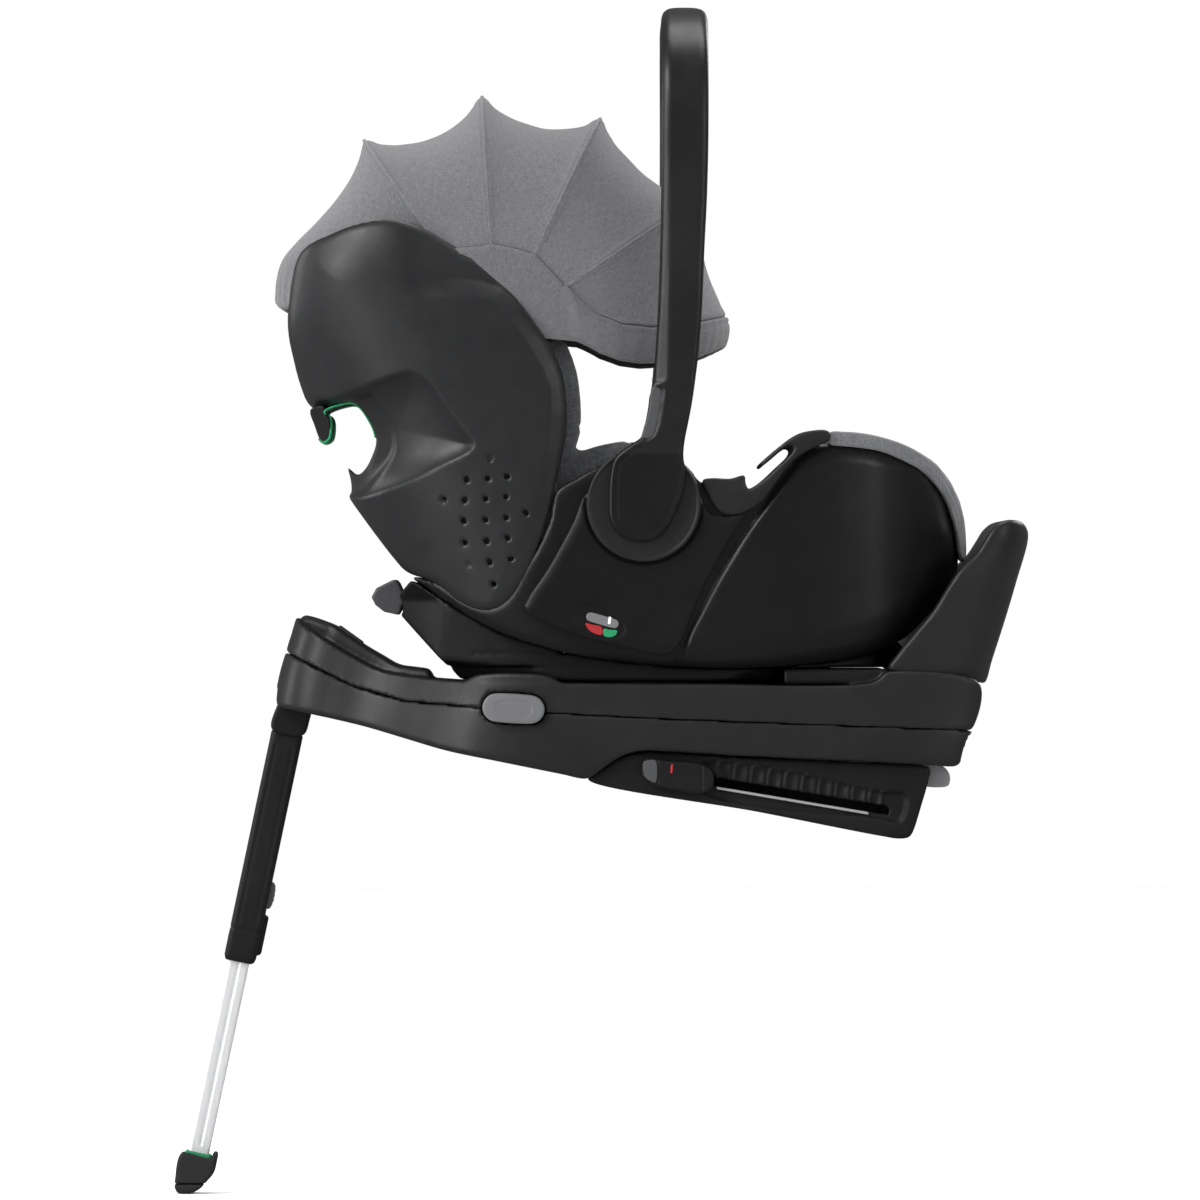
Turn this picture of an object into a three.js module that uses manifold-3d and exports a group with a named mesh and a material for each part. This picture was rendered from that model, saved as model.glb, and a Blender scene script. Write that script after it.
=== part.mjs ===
// Infant car seat on its ISOFIX base: a rear-facing carrier with a ribbed canopy and a carry handle, clicked onto a
// swivelling cradle, with a rebound bar, two sliding ISOFIX arms and a telescopic support leg.
//
// Frame: millimetres, +Z up, +X towards the vehicle seat back, Y across the seat. The origin is the middle of the two
// ISOFIX anchor bars that hold the base. The underside slopes down towards the vehicle seat back.
//
// Side-elevation outlines are written on a drawing grid (u to the right, v down); GRID turns it into millimetres.
import * as THREE from "three";
import { mergeVertices } from "three/addons/utils/BufferGeometryUtils.js";
import Module from "manifold-3d";

const wasm = await Module();
wasm.setup();

// ---- driving dimensions --------------------------------------------------------------------------------------------
const GRID = 0.97; // mm per drawing unit
const U0 = 940; // drawing position of the ISOFIX bars
const V0 = 777;
const RAIL_SLOPE = (9.5 * Math.PI) / 180; // the ISOFIX arms and their side rails run down towards the seat back
const LEG_TILT = (11.9 * Math.PI) / 180; // the support leg leans away from the base
const SWIVEL_U = 640; // swivel axis of the cradle
const ISOFIX_HALF = 140; // ISOFIX anchors are 280 mm apart
const HUB = [643.5, 505]; // handle pivot
const HUB_R = 55;
const CANOPY = [497, 335]; // canopy pivot
const WALL = 4; // shell wall
const SHELL_HALF = 192; // half width of the carrier shell
const BASE_HALF = 182; // half width of the base
const HANDLE_Y = 206; // middle of a handle arm

const X = (u) => GRID * (u - U0);
const Z = (v) => GRID * (V0 - v);

// ---- helpers -------------------------------------------------------------------------------------------------------
function spline(points, steps = 3, closed = false) {
  const c = new THREE.CatmullRomCurve3(
    points.map(([a, b]) => new THREE.Vector3(a, b, 0)),
    closed,
    "centripetal",
  );
  const n = (closed ? points.length : points.length - 1) * steps;
  const out = c.getPoints(n).map((p) => [p.x, p.y]);
  if (closed) out.pop();
  return out;
}

function solid(geometry) {
  const g = geometry.clone();
  g.deleteAttribute("normal");
  g.deleteAttribute("uv");
  const m = mergeVertices(g.index ? g.toNonIndexed() : g, 1e-3);
  const tri = new Uint32Array(m.index.array);
  let s = new wasm.Manifold(
    new wasm.Mesh({
      numProp: 3,
      vertProperties: new Float32Array(m.attributes.position.array),
      triVerts: tri,
    }),
  );
  if (s.volume() < 0) {
    for (let i = 0; i < tri.length; i += 3)
      [tri[i + 1], tri[i + 2]] = [tri[i + 2], tri[i + 1]];
    s = new wasm.Manifold(
      new wasm.Mesh({
        numProp: 3,
        vertProperties: new Float32Array(m.attributes.position.array),
        triVerts: tri,
      }),
    );
  }
  return s;
}

function geometryOf(s) {
  const m = s.getMesh();
  const v = new Float32Array(m.numVert * 3);
  for (let i = 0; i < m.numVert; i++)
    v.set(
      m.vertProperties.subarray(i * m.numProp, i * m.numProp + 3),
      i * 3,
    );
  return new THREE.BufferGeometry()
    .setAttribute("position", new THREE.BufferAttribute(v, 3))
    .setIndex(new THREE.BufferAttribute(new Uint32Array(m.triVerts), 1));
}

// The largest body of a cut solid.
function largest(s) {
  return s.decompose().sort((a, b) => b.volume() - a.volume())[0];
}

const shapeOf = (points) =>
  new THREE.Shape(points.map(([a, b]) => new THREE.Vector2(a, b)));

// A side outline on the drawing grid, extruded across the seat from y0 to y1.
function side(points, y0, y1, bevel = 0) {
  const g = new THREE.ExtrudeGeometry(
    shapeOf(points.map(([u, v]) => [X(u), Z(v)])),
    bevel
      ? {
          depth: y1 - y0 - 2 * bevel,
          bevelEnabled: true,
          bevelThickness: bevel,
          bevelSize: bevel,
          bevelOffset: -bevel,
          bevelSegments: 2,
          steps: 1,
        }
      : { depth: y1 - y0, bevelEnabled: false, steps: 1 },
  );
  g.rotateX(Math.PI / 2);
  g.translate(0, y1 - (bevel || 0), 0);
  return solid(g);
}

// A half-width profile [(u, half width in mm)], extruded along Z and leaning by lean (x per z) about the height vRef.
function plan(profile, lean = 0, vRef = 700) {
  const pts = profile.map(([u, h]) => [X(u), h]);
  const ring = [
    ...pts.map(([x, h]) => [x, -h]),
    ...pts
      .slice()
      .reverse()
      .map(([x, h]) => [x, h]),
  ].filter(
    (p, i, a) =>
      i === 0 || Math.hypot(p[0] - a[i - 1][0], p[1] - a[i - 1][1]) > 0.01,
  );
  const g = new THREE.ExtrudeGeometry(shapeOf(ring), {
    depth: 1400,
    bevelEnabled: false,
  });
  g.translate(0, 0, -500);
  const z = Z(vRef);
  g.applyMatrix4(
    new THREE.Matrix4().set(1, 0, lean, -lean * z, 0, 1, 0, 0, 0, 0, 1, 0, 0, 0, 0, 1),
  );
  return solid(g);
}

// A half-width profile moved inwards by a wall thickness in mm (outwards where it is negative).
function narrower(profile, by) {
  const last = profile.length - 1;
  const moved = profile.map(([u, h], i) => {
    const a = profile[Math.max(i - 1, 0)], b = profile[Math.min(i + 1, last)];
    let tu = (b[0] - a[0]) * GRID, th = b[1] - a[1];
    if (i === 0 && h === 0) [tu, th] = [0, 1];
    if (i === last && h === 0) [tu, th] = [0, -1];
    const L = Math.hypot(tu, th);
    return [u + (by * th) / L / GRID, h - (by * tu) / L];
  });
  const far = ([u, h]) => {
    let d = Infinity;
    for (let i = 0; i < last; i++) {
      const [x0, y0, x1, y1] = [profile[i][0] * GRID, profile[i][1], profile[i + 1][0] * GRID, profile[i + 1][1]];
      const t = Math.min(1, Math.max(0, ((u * GRID - x0) * (x1 - x0) + (h - y0) * (y1 - y0)) / ((x1 - x0) ** 2 + (y1 - y0) ** 2)));
      d = Math.min(d, Math.hypot(u * GRID - x0 - t * (x1 - x0), h - y0 - t * (y1 - y0)));
    }
    return d;
  };
  return moved.filter((p, i) => i === 0 || i === last || (p[1] > 0.5 && far(p) >= Math.abs(by) * 0.96 - 1e-6));
}

function box(x0, x1, y0, y1, z0, z1) {
  const g = new THREE.BoxGeometry(x1 - x0, y1 - y0, z1 - z0);
  g.translate((x0 + x1) / 2, (y0 + y1) / 2, (z0 + z1) / 2);
  return solid(g);
}

// A cylinder along Y at a drawing point.
function disc([u, v], r, y0, y1, n = 40) {
  const g = new THREE.CylinderGeometry(r, r, y1 - y0, n);
  g.translate(X(u), (y0 + y1) / 2, Z(v));
  return solid(g);
}

// A solid of revolution about the swivel axis: profile of [radius mm, v].
function turned(profile, n = 56) {
  const g = new THREE.LatheGeometry(
    profile.map(([r, v]) => new THREE.Vector2(r, Z(v))),
    n,
  );
  g.rotateX(Math.PI / 2);
  g.scale(1, -1, 1);
  g.translate(X(SWIVEL_U), 0, 0);
  return solid(g);
}

// A closed body through rings of points, each ring with the same count, capped at both ends.
function loft(rings) {
  const n = rings[0].length;
  const pos = [];
  for (const r of rings) for (const p of r) pos.push(...p);
  const index = [];
  for (let i = 0; i < rings.length - 1; i++)
    for (let j = 0; j < n; j++) {
      const a = i * n + j,
        b = i * n + ((j + 1) % n),
        c = a + n,
        d = b + n;
      index.push(a, b, d, a, d, c);
    }
  for (const [base, flip] of [
    [0, true],
    [(rings.length - 1) * n, false],
  ]) {
    const mid = pos.length / 3;
    const c = [0, 0, 0];
    for (let j = 0; j < n; j++)
      for (let k = 0; k < 3; k++) c[k] += pos[(base + j) * 3 + k] / n;
    pos.push(...c);
    for (let j = 0; j < n; j++) {
      const a = base + j,
        b = base + ((j + 1) % n);
      flip ? index.push(b, a, mid) : index.push(a, b, mid);
    }
  }
  const g = new THREE.BufferGeometry()
    .setAttribute("position", new THREE.Float32BufferAttribute(pos, 3))
    .setIndex(index);
  return solid(g);
}

const mirrorY = (s) => s.mirror([0, 1, 0]);

const root = new THREE.Group();
const MATERIALS = {
  shell_grey: new THREE.MeshStandardMaterial({ color: 0x3c3d40, roughness: 0.45, metalness: 0 }),
  shell_black: new THREE.MeshStandardMaterial({ color: 0x17181a, roughness: 0.5, metalness: 0 }),
  base_plastic: new THREE.MeshStandardMaterial({ color: 0x242527, roughness: 0.42, metalness: 0 }),
  trim_grey: new THREE.MeshStandardMaterial({ color: 0x6a6b6e, roughness: 0.5, metalness: 0 }),
  canopy_fabric: new THREE.MeshStandardMaterial({ color: 0x77787b, roughness: 0.95, metalness: 0 }),
  cover_fabric: new THREE.MeshStandardMaterial({ color: 0x4a4b4e, roughness: 0.95, metalness: 0 }),
  foam: new THREE.MeshStandardMaterial({ color: 0x2a2a2c, roughness: 0.9, metalness: 0 }),
  webbing: new THREE.MeshStandardMaterial({ color: 0x222224, roughness: 0.85, metalness: 0 }),
  aluminium: new THREE.MeshStandardMaterial({ color: 0xcfd0d1, roughness: 0.35, metalness: 0.9 }),
  steel: new THREE.MeshStandardMaterial({ color: 0x9a9c9f, roughness: 0.3, metalness: 1 }),
  rubber: new THREE.MeshStandardMaterial({ color: 0x1b1b1c, roughness: 0.9, metalness: 0 }),
  button_red: new THREE.MeshStandardMaterial({ color: 0xb3141c, roughness: 0.45, metalness: 0 }),
  guide_green: new THREE.MeshStandardMaterial({ color: 0x12844a, roughness: 0.5, metalness: 0 }),
};
function add(name, s, material) {
  const mesh = new THREE.Mesh(geometryOf(s), MATERIALS[material]);
  mesh.name = name;
  root.add(mesh);
}
function pair(name, s, material) {
  add(name + "_left", s, material); // s lies on the -Y side
  add(name + "_right", mirrorY(s), material);
}

// ---- base ------------------------------------------------------------------------------------------------------------
const BASE_PLAN = [
  [270, 0], [271.5, 28], [276, 50], [286, 68], [302, 80], [330, 88], [362, 97], [392, 112], [422, 132], [452, 151],
  [482, 165], [520, 174], [560, 178], [640, 181], [760, BASE_HALF], [860, BASE_HALF], [930, 178], [972, 168], [990, 150], [996, 0],
];
const LEAN_BASE = 0.25;
const basePlan = plan(BASE_PLAN, LEAN_BASE, 700);
const basePlanIn = plan(narrower(BASE_PLAN, WALL), LEAN_BASE, 700);
const SEAM = [[240, 636], [284, 652], [352, 686], [405, 701], [478, 707], [560, 713], [654, 718], [970, 730], [1060, 733]];
const LOWER_EDGE = [
  [274, 703], [311, 715], [364, 726.5], [404, 738], [446, 750], [500, 761], [560, 773], [586, 778], [606, 765], [624, 754], [643, 750],
  [740, 755], [860, 761], [926, 764.5], [958.5, 764.5],
];
// lower shell: from the seam down to the lower edge
const lowerOut = [[284, 652.6], [352, 686.6], [405, 701.6], [478, 707.6], [560, 713.6], [654, 718.6], [970, 730.6], ...LOWER_EDGE.slice().reverse()];
const lowerIn = [
  [286, 640], [420, 640], [960, 640], [962, 748], [926, 760], [860, 757], [740, 751], [640, 746], [620, 749], [604, 760], [586, 773],
  [560, 769], [500, 757], [446, 746], [404, 734], [364, 722], [311, 711], [280, 700],
];
let lower = side(lowerOut, -200, 200).intersect(basePlan);
let lowerCut = side(lowerIn, -200, 200).intersect(basePlanIn);
lower = lower.subtract(lowerCut);
// recess along the underside that takes the folded leg
lower = lower.subtract(side([[262, 690], [345, 690], [350, 704], [548, 704], [548, 800], [250, 800]], -27, 27));
// long openings over the two ISOFIX arms
const armWell = side([[640, 700], [800, 726], [935, 748], [975, 764], [975, 800], [640, 800]], -161, -124);
lower = lower.subtract(armWell).subtract(mirrorY(armWell));
// rotation buttons' pockets
const BUTTON = (g) => {
  const [ua, ub, va, vb] = [482 - g, 545.5 + g, 693 - g, 723 + g];
  const r = (vb - va) / 2, m = (va + vb) / 2, out = [];
  for (let i = 0; i <= 8; i++) { const a = Math.PI / 2 + (Math.PI * i) / 8; out.push([ua + r + r * Math.cos(a), m - 1 - r * Math.sin(a)]); }
  for (let i = 0; i <= 8; i++) { const a = -Math.PI / 2 + (Math.PI * i) / 8; out.push([ub - r + r * Math.cos(a), m + 1 - r * Math.sin(a)]); }
  return out;
};
lower = largest(lower.subtract(side(BUTTON(0.8), -240, -150)).subtract(side(BUTTON(0.8), 150, 240)));
add("base_lower_shell", lower, "base_plastic");

const upperOut = [
  [293, 616], [299, 624], [312, 633], [330, 645], [352, 658], [380, 672], [405, 676], [463, 681.5],
  [562, 682.5], [700, 683.5], [874, 681], [886, 671], [979, 683.5], [966, 730], [654, 718], [560, 713], [478, 707], [405, 701], [352, 686], [284, 652],
];
const crown = [
  [293, 616], [330, 624], [345, 633], [364, 646], [381, 656], [397, 665], [416, 668], [428, 671], [432, 690], [405, 700], [352, 685.5], [300, 655],
];
let upper = side(upperOut, -200, 200).intersect(basePlan);
upper = upper.add(side(crown, -200, 200).intersect(plan(narrower(BASE_PLAN, 30), LEAN_BASE, 700)));
// a low rise over each swivel button, outside the swing of the cradle
const rise = side([[462, 683], [474, 676], [489, 673], [540, 674], [553, 677.5], [563, 683.5], [563, 700], [462, 700]], -200, 200).intersect(basePlan).subtract(turned([[0, 640], [188, 640], [188, 720], [0, 720]]));
upper = upper.add(rise);
// crescent at the seat-back end that closes the gap under the carrier
upper = upper.add(side([[828, 668.8], [887.4, 668.8], [887.4, 684], [828, 684]], -150, 150).subtract(turned([[0, 640], [188, 640], [188, 720], [0, 720]])));
const upperIn = [
  [298, 626], [316, 641], [352, 664], [380, 678], [405, 682], [463, 686], [560, 688], [700, 690], [874, 688], [960, 690], [956, 740], [654, 740],
  [560, 740], [405, 740], [290, 690],
];
upper = upper.subtract(side(upperIn, -200, 200).intersect(basePlanIn));
// round well that takes the swivel plate, and the side button pockets
upper = upper.subtract(turned([[0, 660], [152, 660], [152, 705], [0, 705]]));
upper = largest(upper.subtract(side(BUTTON(0.8), -240, -150)).subtract(side(BUTTON(0.8), 150, 240)));
upper = upper.subtract(box(X(332), X(363), -19, 19, Z(657), Z(600)));
add("base_upper_shell", largest(upper), "base_plastic");
add("nose_release_button", side([[333, 628], [338, 625.5], [361, 642], [361, 650], [333, 650]], -18, 18), "trim_grey");

// housing of the ISOFIX arms, tilted to lie on the cushion, with the two arm channels and the side slots
const housingOut = [
  [590, 778.4], [607, 766], [625, 755], [643, 751], [740, 756], [860, 762], [926, 765.5], [931, 768], [929, 776], [912, 832], [907, 837], [899, 838.5],
];
let housing = side(housingOut, -168, 168);
const along = (u, v) => [u, v + (u - U0) * Math.tan(RAIL_SLOPE)]; // a height v at the ISOFIX bars, carried back along the arms' slope
const channel = side([along(628, 762), along(1000, 762), along(1000, 789), along(628, 789)], -161, -124)
  .add(side([[628, 740], [900, 752], [905, 820], [720, 794], [628, 790]], -161, -124));
const slotCut = side([along(680, 815), along(888, 815), along(888, 823), along(680, 823)], -190, -160);
housing = housing.subtract(channel).subtract(mirrorY(channel)).subtract(slotCut).subtract(mirrorY(slotCut));
housing = housing.subtract(side([[660, 740], [896, 752], [890, 824], [660, 780]], -114, 114)); // open box between the channels
add("isofix_housing", largest(housing), "shell_black");

// rebound bar: wraps the foot end of the carrier, clear of its swing
const barOut = [
  [888, 668.5], [897, 653], [915, 631], [932, 611], [948, 585], [960, 569], [975, 553], [985, 536], [993, 527], [1000, 522], [1010, 520],
  [1020, 522], [1028, 530], [1030, 540], [1018, 580], [1006, 620], [993, 660], [985.5, 683.3], [979, 682.5],
];
const BAR_PLAN = [[840, 176], [900, 178], [950, 174], [985, 160], [1003, 135], [1014, 95], [1020, 0]];
let bar = side(barOut, -200, 200).intersect(plan([[700, 178], ...BAR_PLAN.slice(1)], 0.3, 620));
bar = bar.subtract(turned([
  [0, 480], [337, 480], [337, 545], [335, 575], [325, 592], [316, 611], [305, 640], [289, 655], [266, 670], [258, 700], [0, 700],
]));
bar = largest(bar);
add("rebound_bar", bar, "base_plastic");

// side buttons that free the swivel
pair("swivel_button", side(BUTTON(0), -184, -156, 2), "trim_grey");

// ---- ISOFIX arms -----------------------------------------------------------------------------------------------------
const arm = side([along(676, 767.5), along(920, 767.5), along(920, 784), along(676, 784)], -ISOFIX_HALF - 9, -ISOFIX_HALF + 9);
pair("isofix_arm", arm, "steel");
let connector = side([along(920.6, 765), along(941, 765), along(948, 770), along(950, 777), along(948, 784), along(941, 787), along(920.6, 787)], -ISOFIX_HALF - 13, -ISOFIX_HALF + 13, 1.5);
connector = connector.subtract(side([along(933, 772.5), along(960, 771), along(960, 783.5), along(933, 781.5)], -ISOFIX_HALF - 9, -ISOFIX_HALF + 9));
pair("isofix_connector", connector, "trim_grey");
// side slider: a cap outside the housing, joined through the slot to the side of its arm
let slider = side([[642, 760], [646, 758], [656, 758], [664, 760], [698, 763], [706, 766], [713, 772], [713, 786], [707, 791], [700, 793], [690, 792.5], [658, 786], [650, 783], [642, 776]], -181, -168.6, 2.5);
slider = slider.add(side([along(684, 816.6), along(706, 816.6), along(706, 821.4), along(684, 821.4)], -169.5, -152.5));
slider = slider.add(side([along(684, 770), along(706, 770), along(706, 821.4), along(684, 821.4)], -156, -149.4));
pair("isofix_slider", slider, "shell_black");

// ---- support leg -----------------------------------------------------------------------------------------------------
// The leg's own direction, down along its axis, and a point on it at a distance d from the hinge.
const LEG_TOP = [292.5, 695];
const LEG_DIR = [-Math.sin(LEG_TILT), Math.cos(LEG_TILT)];
const legPoint = (d, w) => [LEG_TOP[0] + (LEG_DIR[0] * d + LEG_DIR[1] * w) / GRID, LEG_TOP[1] + (LEG_DIR[1] * d - LEG_DIR[0] * w) / GRID];
const legBox = (d0, d1, w0, w1) => [legPoint(d0, w0), legPoint(d1, w0), legPoint(d1, w1), legPoint(d0, w1)];
add("leg_hinge_pin", disc(LEG_TOP, 5, -40, 40, 24), "steel");
let bracket = side([legPoint(-4, -10), legPoint(-9, -6), legPoint(-10.5, 0), legPoint(-9, 6), legPoint(-4, 10.5), legPoint(6, 15), legPoint(14, 19), legPoint(22, 19), legPoint(38, 15.5), legPoint(38, -15.5), legPoint(16, -15.5), legPoint(6, -12)], -21, 21);
bracket = bracket.subtract(disc(LEG_TOP, 5.4, -60, 60, 24)).subtract(side(legBox(24, 60, -13.4, 13.4), -14.4, 14.4));
add("leg_bracket", largest(bracket), "shell_black");
let tube = side([legPoint(38.4, -15.5), legPoint(38.4, 15.5), legPoint(262, 15.5), legPoint(268, 14), legPoint(268, -14), legPoint(262, -15.5)], -17, 17);
tube = tube.add(side(legBox(24.4, 60, -13, 13), -14, 14)).subtract(side(legBox(20, 300, -10.6, 10.6), -11.6, 11.6));
tube = tube.subtract(side(legBox(184, 214, 11.4, 20), -8.5, 8.5));
add("leg_upper_tube", largest(tube), "shell_black");
add("leg_length_button", side([legPoint(185, 13.8), legPoint(186, 18.5), legPoint(192, 20.5), legPoint(206, 20.5), legPoint(213, 17), legPoint(213, 13.8)], -7.5, 7.5), "trim_grey");
let inner = side(legBox(205, 474, -10, 10), -11, 11).subtract(side(legBox(195, 465, -8, 8), -9, 9));
add("leg_lower_tube", inner, "aluminium");
let foot = side([legPoint(461, 13), legPoint(455, 14), legPoint(455, 18.5), legPoint(464, 19), legPoint(476, 18.5), [203, 1187], [196, 1194], [188, 1198.5], [174, 1198.5], [170.5, 1193], [171, 1182], legPoint(470, -19), legPoint(463, -17), legPoint(461, -12)], -24, 24, 2.5);
foot = foot.subtract(side(legBox(440, 474.4, -10.4, 10.4), -11.4, 11.4));
foot = foot.subtract(side(legBox(440, 466.4, -13.4, 13.4), -14.4, 14.4));
add("leg_foot", largest(foot), "rubber");
const ring = side(legBox(459, 466, -13, 13), -14, 14).subtract(side(legBox(440, 480, -10.4, 10.4), -11.4, 11.4));
add("leg_foot_indicator", ring, "guide_green");

// ---- swivel plate and cradle -----------------------------------------------------------------------------------------
add("swivel_plate", turned([[0, 681.5], [150, 681.5], [151, 683], [151, 690], [148, 698], [0, 698]]), "shell_black");
// underside of the carrier, which the cradle follows
const CARRIER_BOTTOM = [
  [409, 577], [430, 591.5], [460, 612], [500, 633], [560, 652], [620, 662], [700, 668], [760, 668], [820, 663], [860, 655], [890, 644],
];
const cradleOut = [
  [395, 601], [411, 583], [416, 585], [429, 593.8], [459.5, 614], [499.5, 635], [559.5, 654], [619.5, 664.2], [700, 670.2], [760, 670.2], [820, 665.2],
  [860.7, 657.3], [890.8, 646.4], [896, 650], [896, 672], [862, 680.8], [463, 680.8], [400, 613],
];
let cradle = side(cradleOut, -158, 158).intersect(
  turned([[0, 560], [275, 560], [240, 600], [236, 660], [212, 664], [205, 666.3], [186, 666.3], [184, 672], [179, 679.2], [170, 680.8], [170, 700], [0, 700]]).add(
    // the foot end reaches out further, low over the base
    turned([[0, 560], [275, 560], [250, 600], [248, 667.6], [186, 667.6], [184, 672], [179, 679.2], [170, 680.8], [170, 700], [0, 700]]).intersect(
      side([[790, 500], [1000, 500], [1000, 720], [790, 720]], -300, 300),
    ),
  ),
);
cradle = cradle.intersect(plan([[300, 95], [400, 120], [470, 150], [640, 158], [780, 150], [870, 120], [920, 90]], -0.5, 640));
cradle = cradle.subtract(side([[380, 553], [408, 587], [414, 595], [414, 604], [400, 613.5], [392, 620], [360, 600]], -60, 60));
add("cradle", largest(cradle), "shell_black");
// lever at the cradle's head end that frees the carrier
const LEVER = [404, 600];
let lever = side([[370, 597], [375, 588], [391, 580], [395, 579.5], [398, 583], [402, 592], [407, 597], [408, 602], [401, 605], [399.5, 611], [397, 615], [383, 612], [374, 605]], -57, 57, 2);
lever = lever.subtract(disc(LEVER, 2.7, -80, 80, 20));
add("carrier_release_lever", lever, "trim_grey");

// ---- carrier shell ---------------------------------------------------------------------------------------------------
const HEAD_PLAN = [
  [266, 0], [267, 35], [270, 62], [277, 88], [290, 114], [308, 135], [334, 155], [370, 173], [410, 184], [460, 190], [560, SHELL_HALF], [700, SHELL_HALF], [1300, SHELL_HALF],
];
const LEAN_HEAD = -0.45;
const headPlan = (by) => plan(narrower(HEAD_PLAN, by), LEAN_HEAD, 335);
const FOOT_PLAN = [
  [200, 188], [500, 190], [600, SHELL_HALF], [700, 191], [760, 188], [810, 182], [850, 174], [880, 164], [905, 149], [925, 131], [942, 108], [955, 82], [964, 52], [968, 25], [969, 0],
];
const footPlan = (by) => plan(narrower(FOOT_PLAN, by), 0, 500);
const carrierPlan = headPlan(0).intersect(footPlan(0));
const carrierPlanIn = headPlan(WALL).intersect(footPlan(WALL));
const carrierPlanFoam = headPlan(WALL + 22).intersect(footPlan(WALL + 22));
const carrierPlanFoamIn = headPlan(WALL + 36).intersect(footPlan(WALL + 36));

// belt channel at the back of the head shell, open to the left
const beltChannel = [
  [280, 437], [318, 437], [323, 440], [328, 438], [330, 430], [329, 421], [323, 411], [345, 402], [353, 402], [361, 408], [368, 418], [374, 430], [376, 442],
  [372, 455], [365, 468], [358, 474], [352, 472], [345, 465], [336, 459], [330, 460], [280, 459],
];
const headOut = [
  [300, 255], [310, 246], [330, 235], [350, 227], [370, 222], [388, 220], [404, 221], [420, 226], [440, 237], [460, 248], [480, 262], [500, 280],
  [520, 303], [536, 325], [550, 345], [562, 366], [567, 386], [568, 402], [567, 430], [563, 452], [556, 472], [551, 495], [540, 530], [530, 560], [520, 584],
  [511, 598], [501, 607], [490, 610.5], [477, 610], [463, 604], [448, 592], [436, 580], [409, 574.5], [403, 570], [392, 556], [378, 539], [364, 519],
  [349, 498], [338, 478], [329, 458], [318, 437], [309, 411], [303, 396], [297, 378], [292, 355], [288, 335], [287, 300], [291, 270],
];
const hollow1 = [
  [306, 240], [298, 280], [294, 303], [296, 335], [303, 370], [320, 383], [352, 382], [375, 392], [389, 410], [396, 430], [397, 447], [390, 468], [380, 486], [373, 498],
  [383, 518], [400, 541], [420, 562], [440, 575], [447, 592], [462, 606], [480, 614], [540, 614], [600, 560], [600, 180], [306, 180],
];
let head = side(headOut, -200, 200).intersect(carrierPlan);
head = head.subtract(side(hollow1, -200, 200).intersect(carrierPlanIn));
head = largest(head.subtract(side(beltChannel, -200, 200)));
add("head_shell", head, "shell_grey");

const seatRim = [
  [558, 485], [575, 478], [600, 466], [640, 458], [680, 461], [700, 482], [712, 486], [742, 486], [750, 494], [764, 490], [780, 470], [798, 452], [815, 444], [842, 446.5],
  [880, 451], [918, 466], [938, 484], [950, 505], [957, 530], [960, 548],
];
const seatOut = [
  [411, 577.5], [436, 583], [446, 593], [462, 606], [477, 612.5], [491, 613], [503, 609.5], [513, 600], [522.5, 585], [532.5, 560.6], [542.5, 530.6], [553.5, 495.6],
  ...seatRim,
  [966, 552], [964, 570], [953, 590], [934, 611], [902, 640], [870, 653.5], [820, 662.5], [760, 667.5], [700, 667.5], [620, 661.5], [560, 651.5], [500, 632.5], [460, 611.5], [430, 591],
];
const hollow2 = [
  [440, 588], [462, 598], [500, 611], [560, 634], [640, 649], [720, 654], [800, 649], [850, 640], [890, 622], [918, 600], [940, 573], [951, 548],
  [947, 515], [936, 492], [916, 475], [880, 459], [842, 453], [842, 380], [440, 380],
];
let seat = side(seatOut, -200, 200).intersect(carrierPlan);
seat = seat.subtract(side(hollow2, -200, 200).intersect(carrierPlanIn));
add("seat_shell", largest(seat), "shell_black");

// raised side panel that carries the handle hub
const sidePanelOut = [
  [562, 492], [590, 470], [640, 462], [682, 466], [698, 486], [706, 512], [722, 517], [744, 515], [741, 522], [720, 552], [700, 592], [679, 645], [671, 653], [660, 654.5], [640, 651],
  [600, 640], [562, 627], [530, 613], [524, 604], [527, 592], [545, 555],
];
const pill = (grow) => {
  // a pill between two drawing points
  const [a, b, r] = [[590.5, 612], [613.5, 627.5], 5.4 + grow], out = [];
  const t = Math.atan2(b[1] - a[1], b[0] - a[0]);
  for (let i = 0; i <= 6; i++) { const q = t + Math.PI / 2 + (Math.PI * i) / 6; out.push([a[0] + r * Math.cos(q), a[1] + r * Math.sin(q)]); }
  for (let i = 0; i <= 6; i++) { const q = t - Math.PI / 2 + (Math.PI * i) / 6; out.push([b[0] + r * Math.cos(q), b[1] + r * Math.sin(q)]); }
  return out;
};
pair("side_panel", side(sidePanelOut, -195.6, -192.4).subtract(side(pill(0.6), -200, -180)), "shell_black");
pair("lock_indicator", side(pill(0), -195.4, -192.5), "trim_grey");

// front belt hooks on the rim, in front of the hubs
let hook = side([
  [703, 480], [712, 478.5], [730, 479], [744, 476], [745, 483], [748, 490], [753, 488], [764, 480], [778, 466], [792, 452], [792.5, 448], [789, 445.5], [782, 450], [769, 461], [761, 467], [760, 466],
  [768, 457], [780, 446], [790, 438.5], [800, 433.5], [812, 431], [824, 430.5], [829, 433], [829, 438], [822, 443], [814, 443.5], [797.5, 451.2], [779.3, 469.2], [763.5, 489.3],
  [750, 493.4], [742.3, 485.4], [712, 485.4], [701, 482],
], -192, -172);
pair("belt_hook", hook, "trim_grey");
// rear belt guides: hooks at the mouth of the belt channel
let guide = side([[311, 412.5], [321.5, 411], [328.5, 421], [329.5, 430], [327.5, 437], [322.8, 439.2], [318.8, 436.4]], -118, -70).intersect(headPlan(0.6)).subtract(head);
pair("belt_guide", largest(side([[323.6, 412], [329.4, 421], [330.6, 430], [328.6, 438.6], [323, 440.8], [322.2, 443.5], [326, 443.2], [331, 440], [333.2, 430], [332, 420], [326, 410.8]], -108, -84)), "guide_green");

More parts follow.
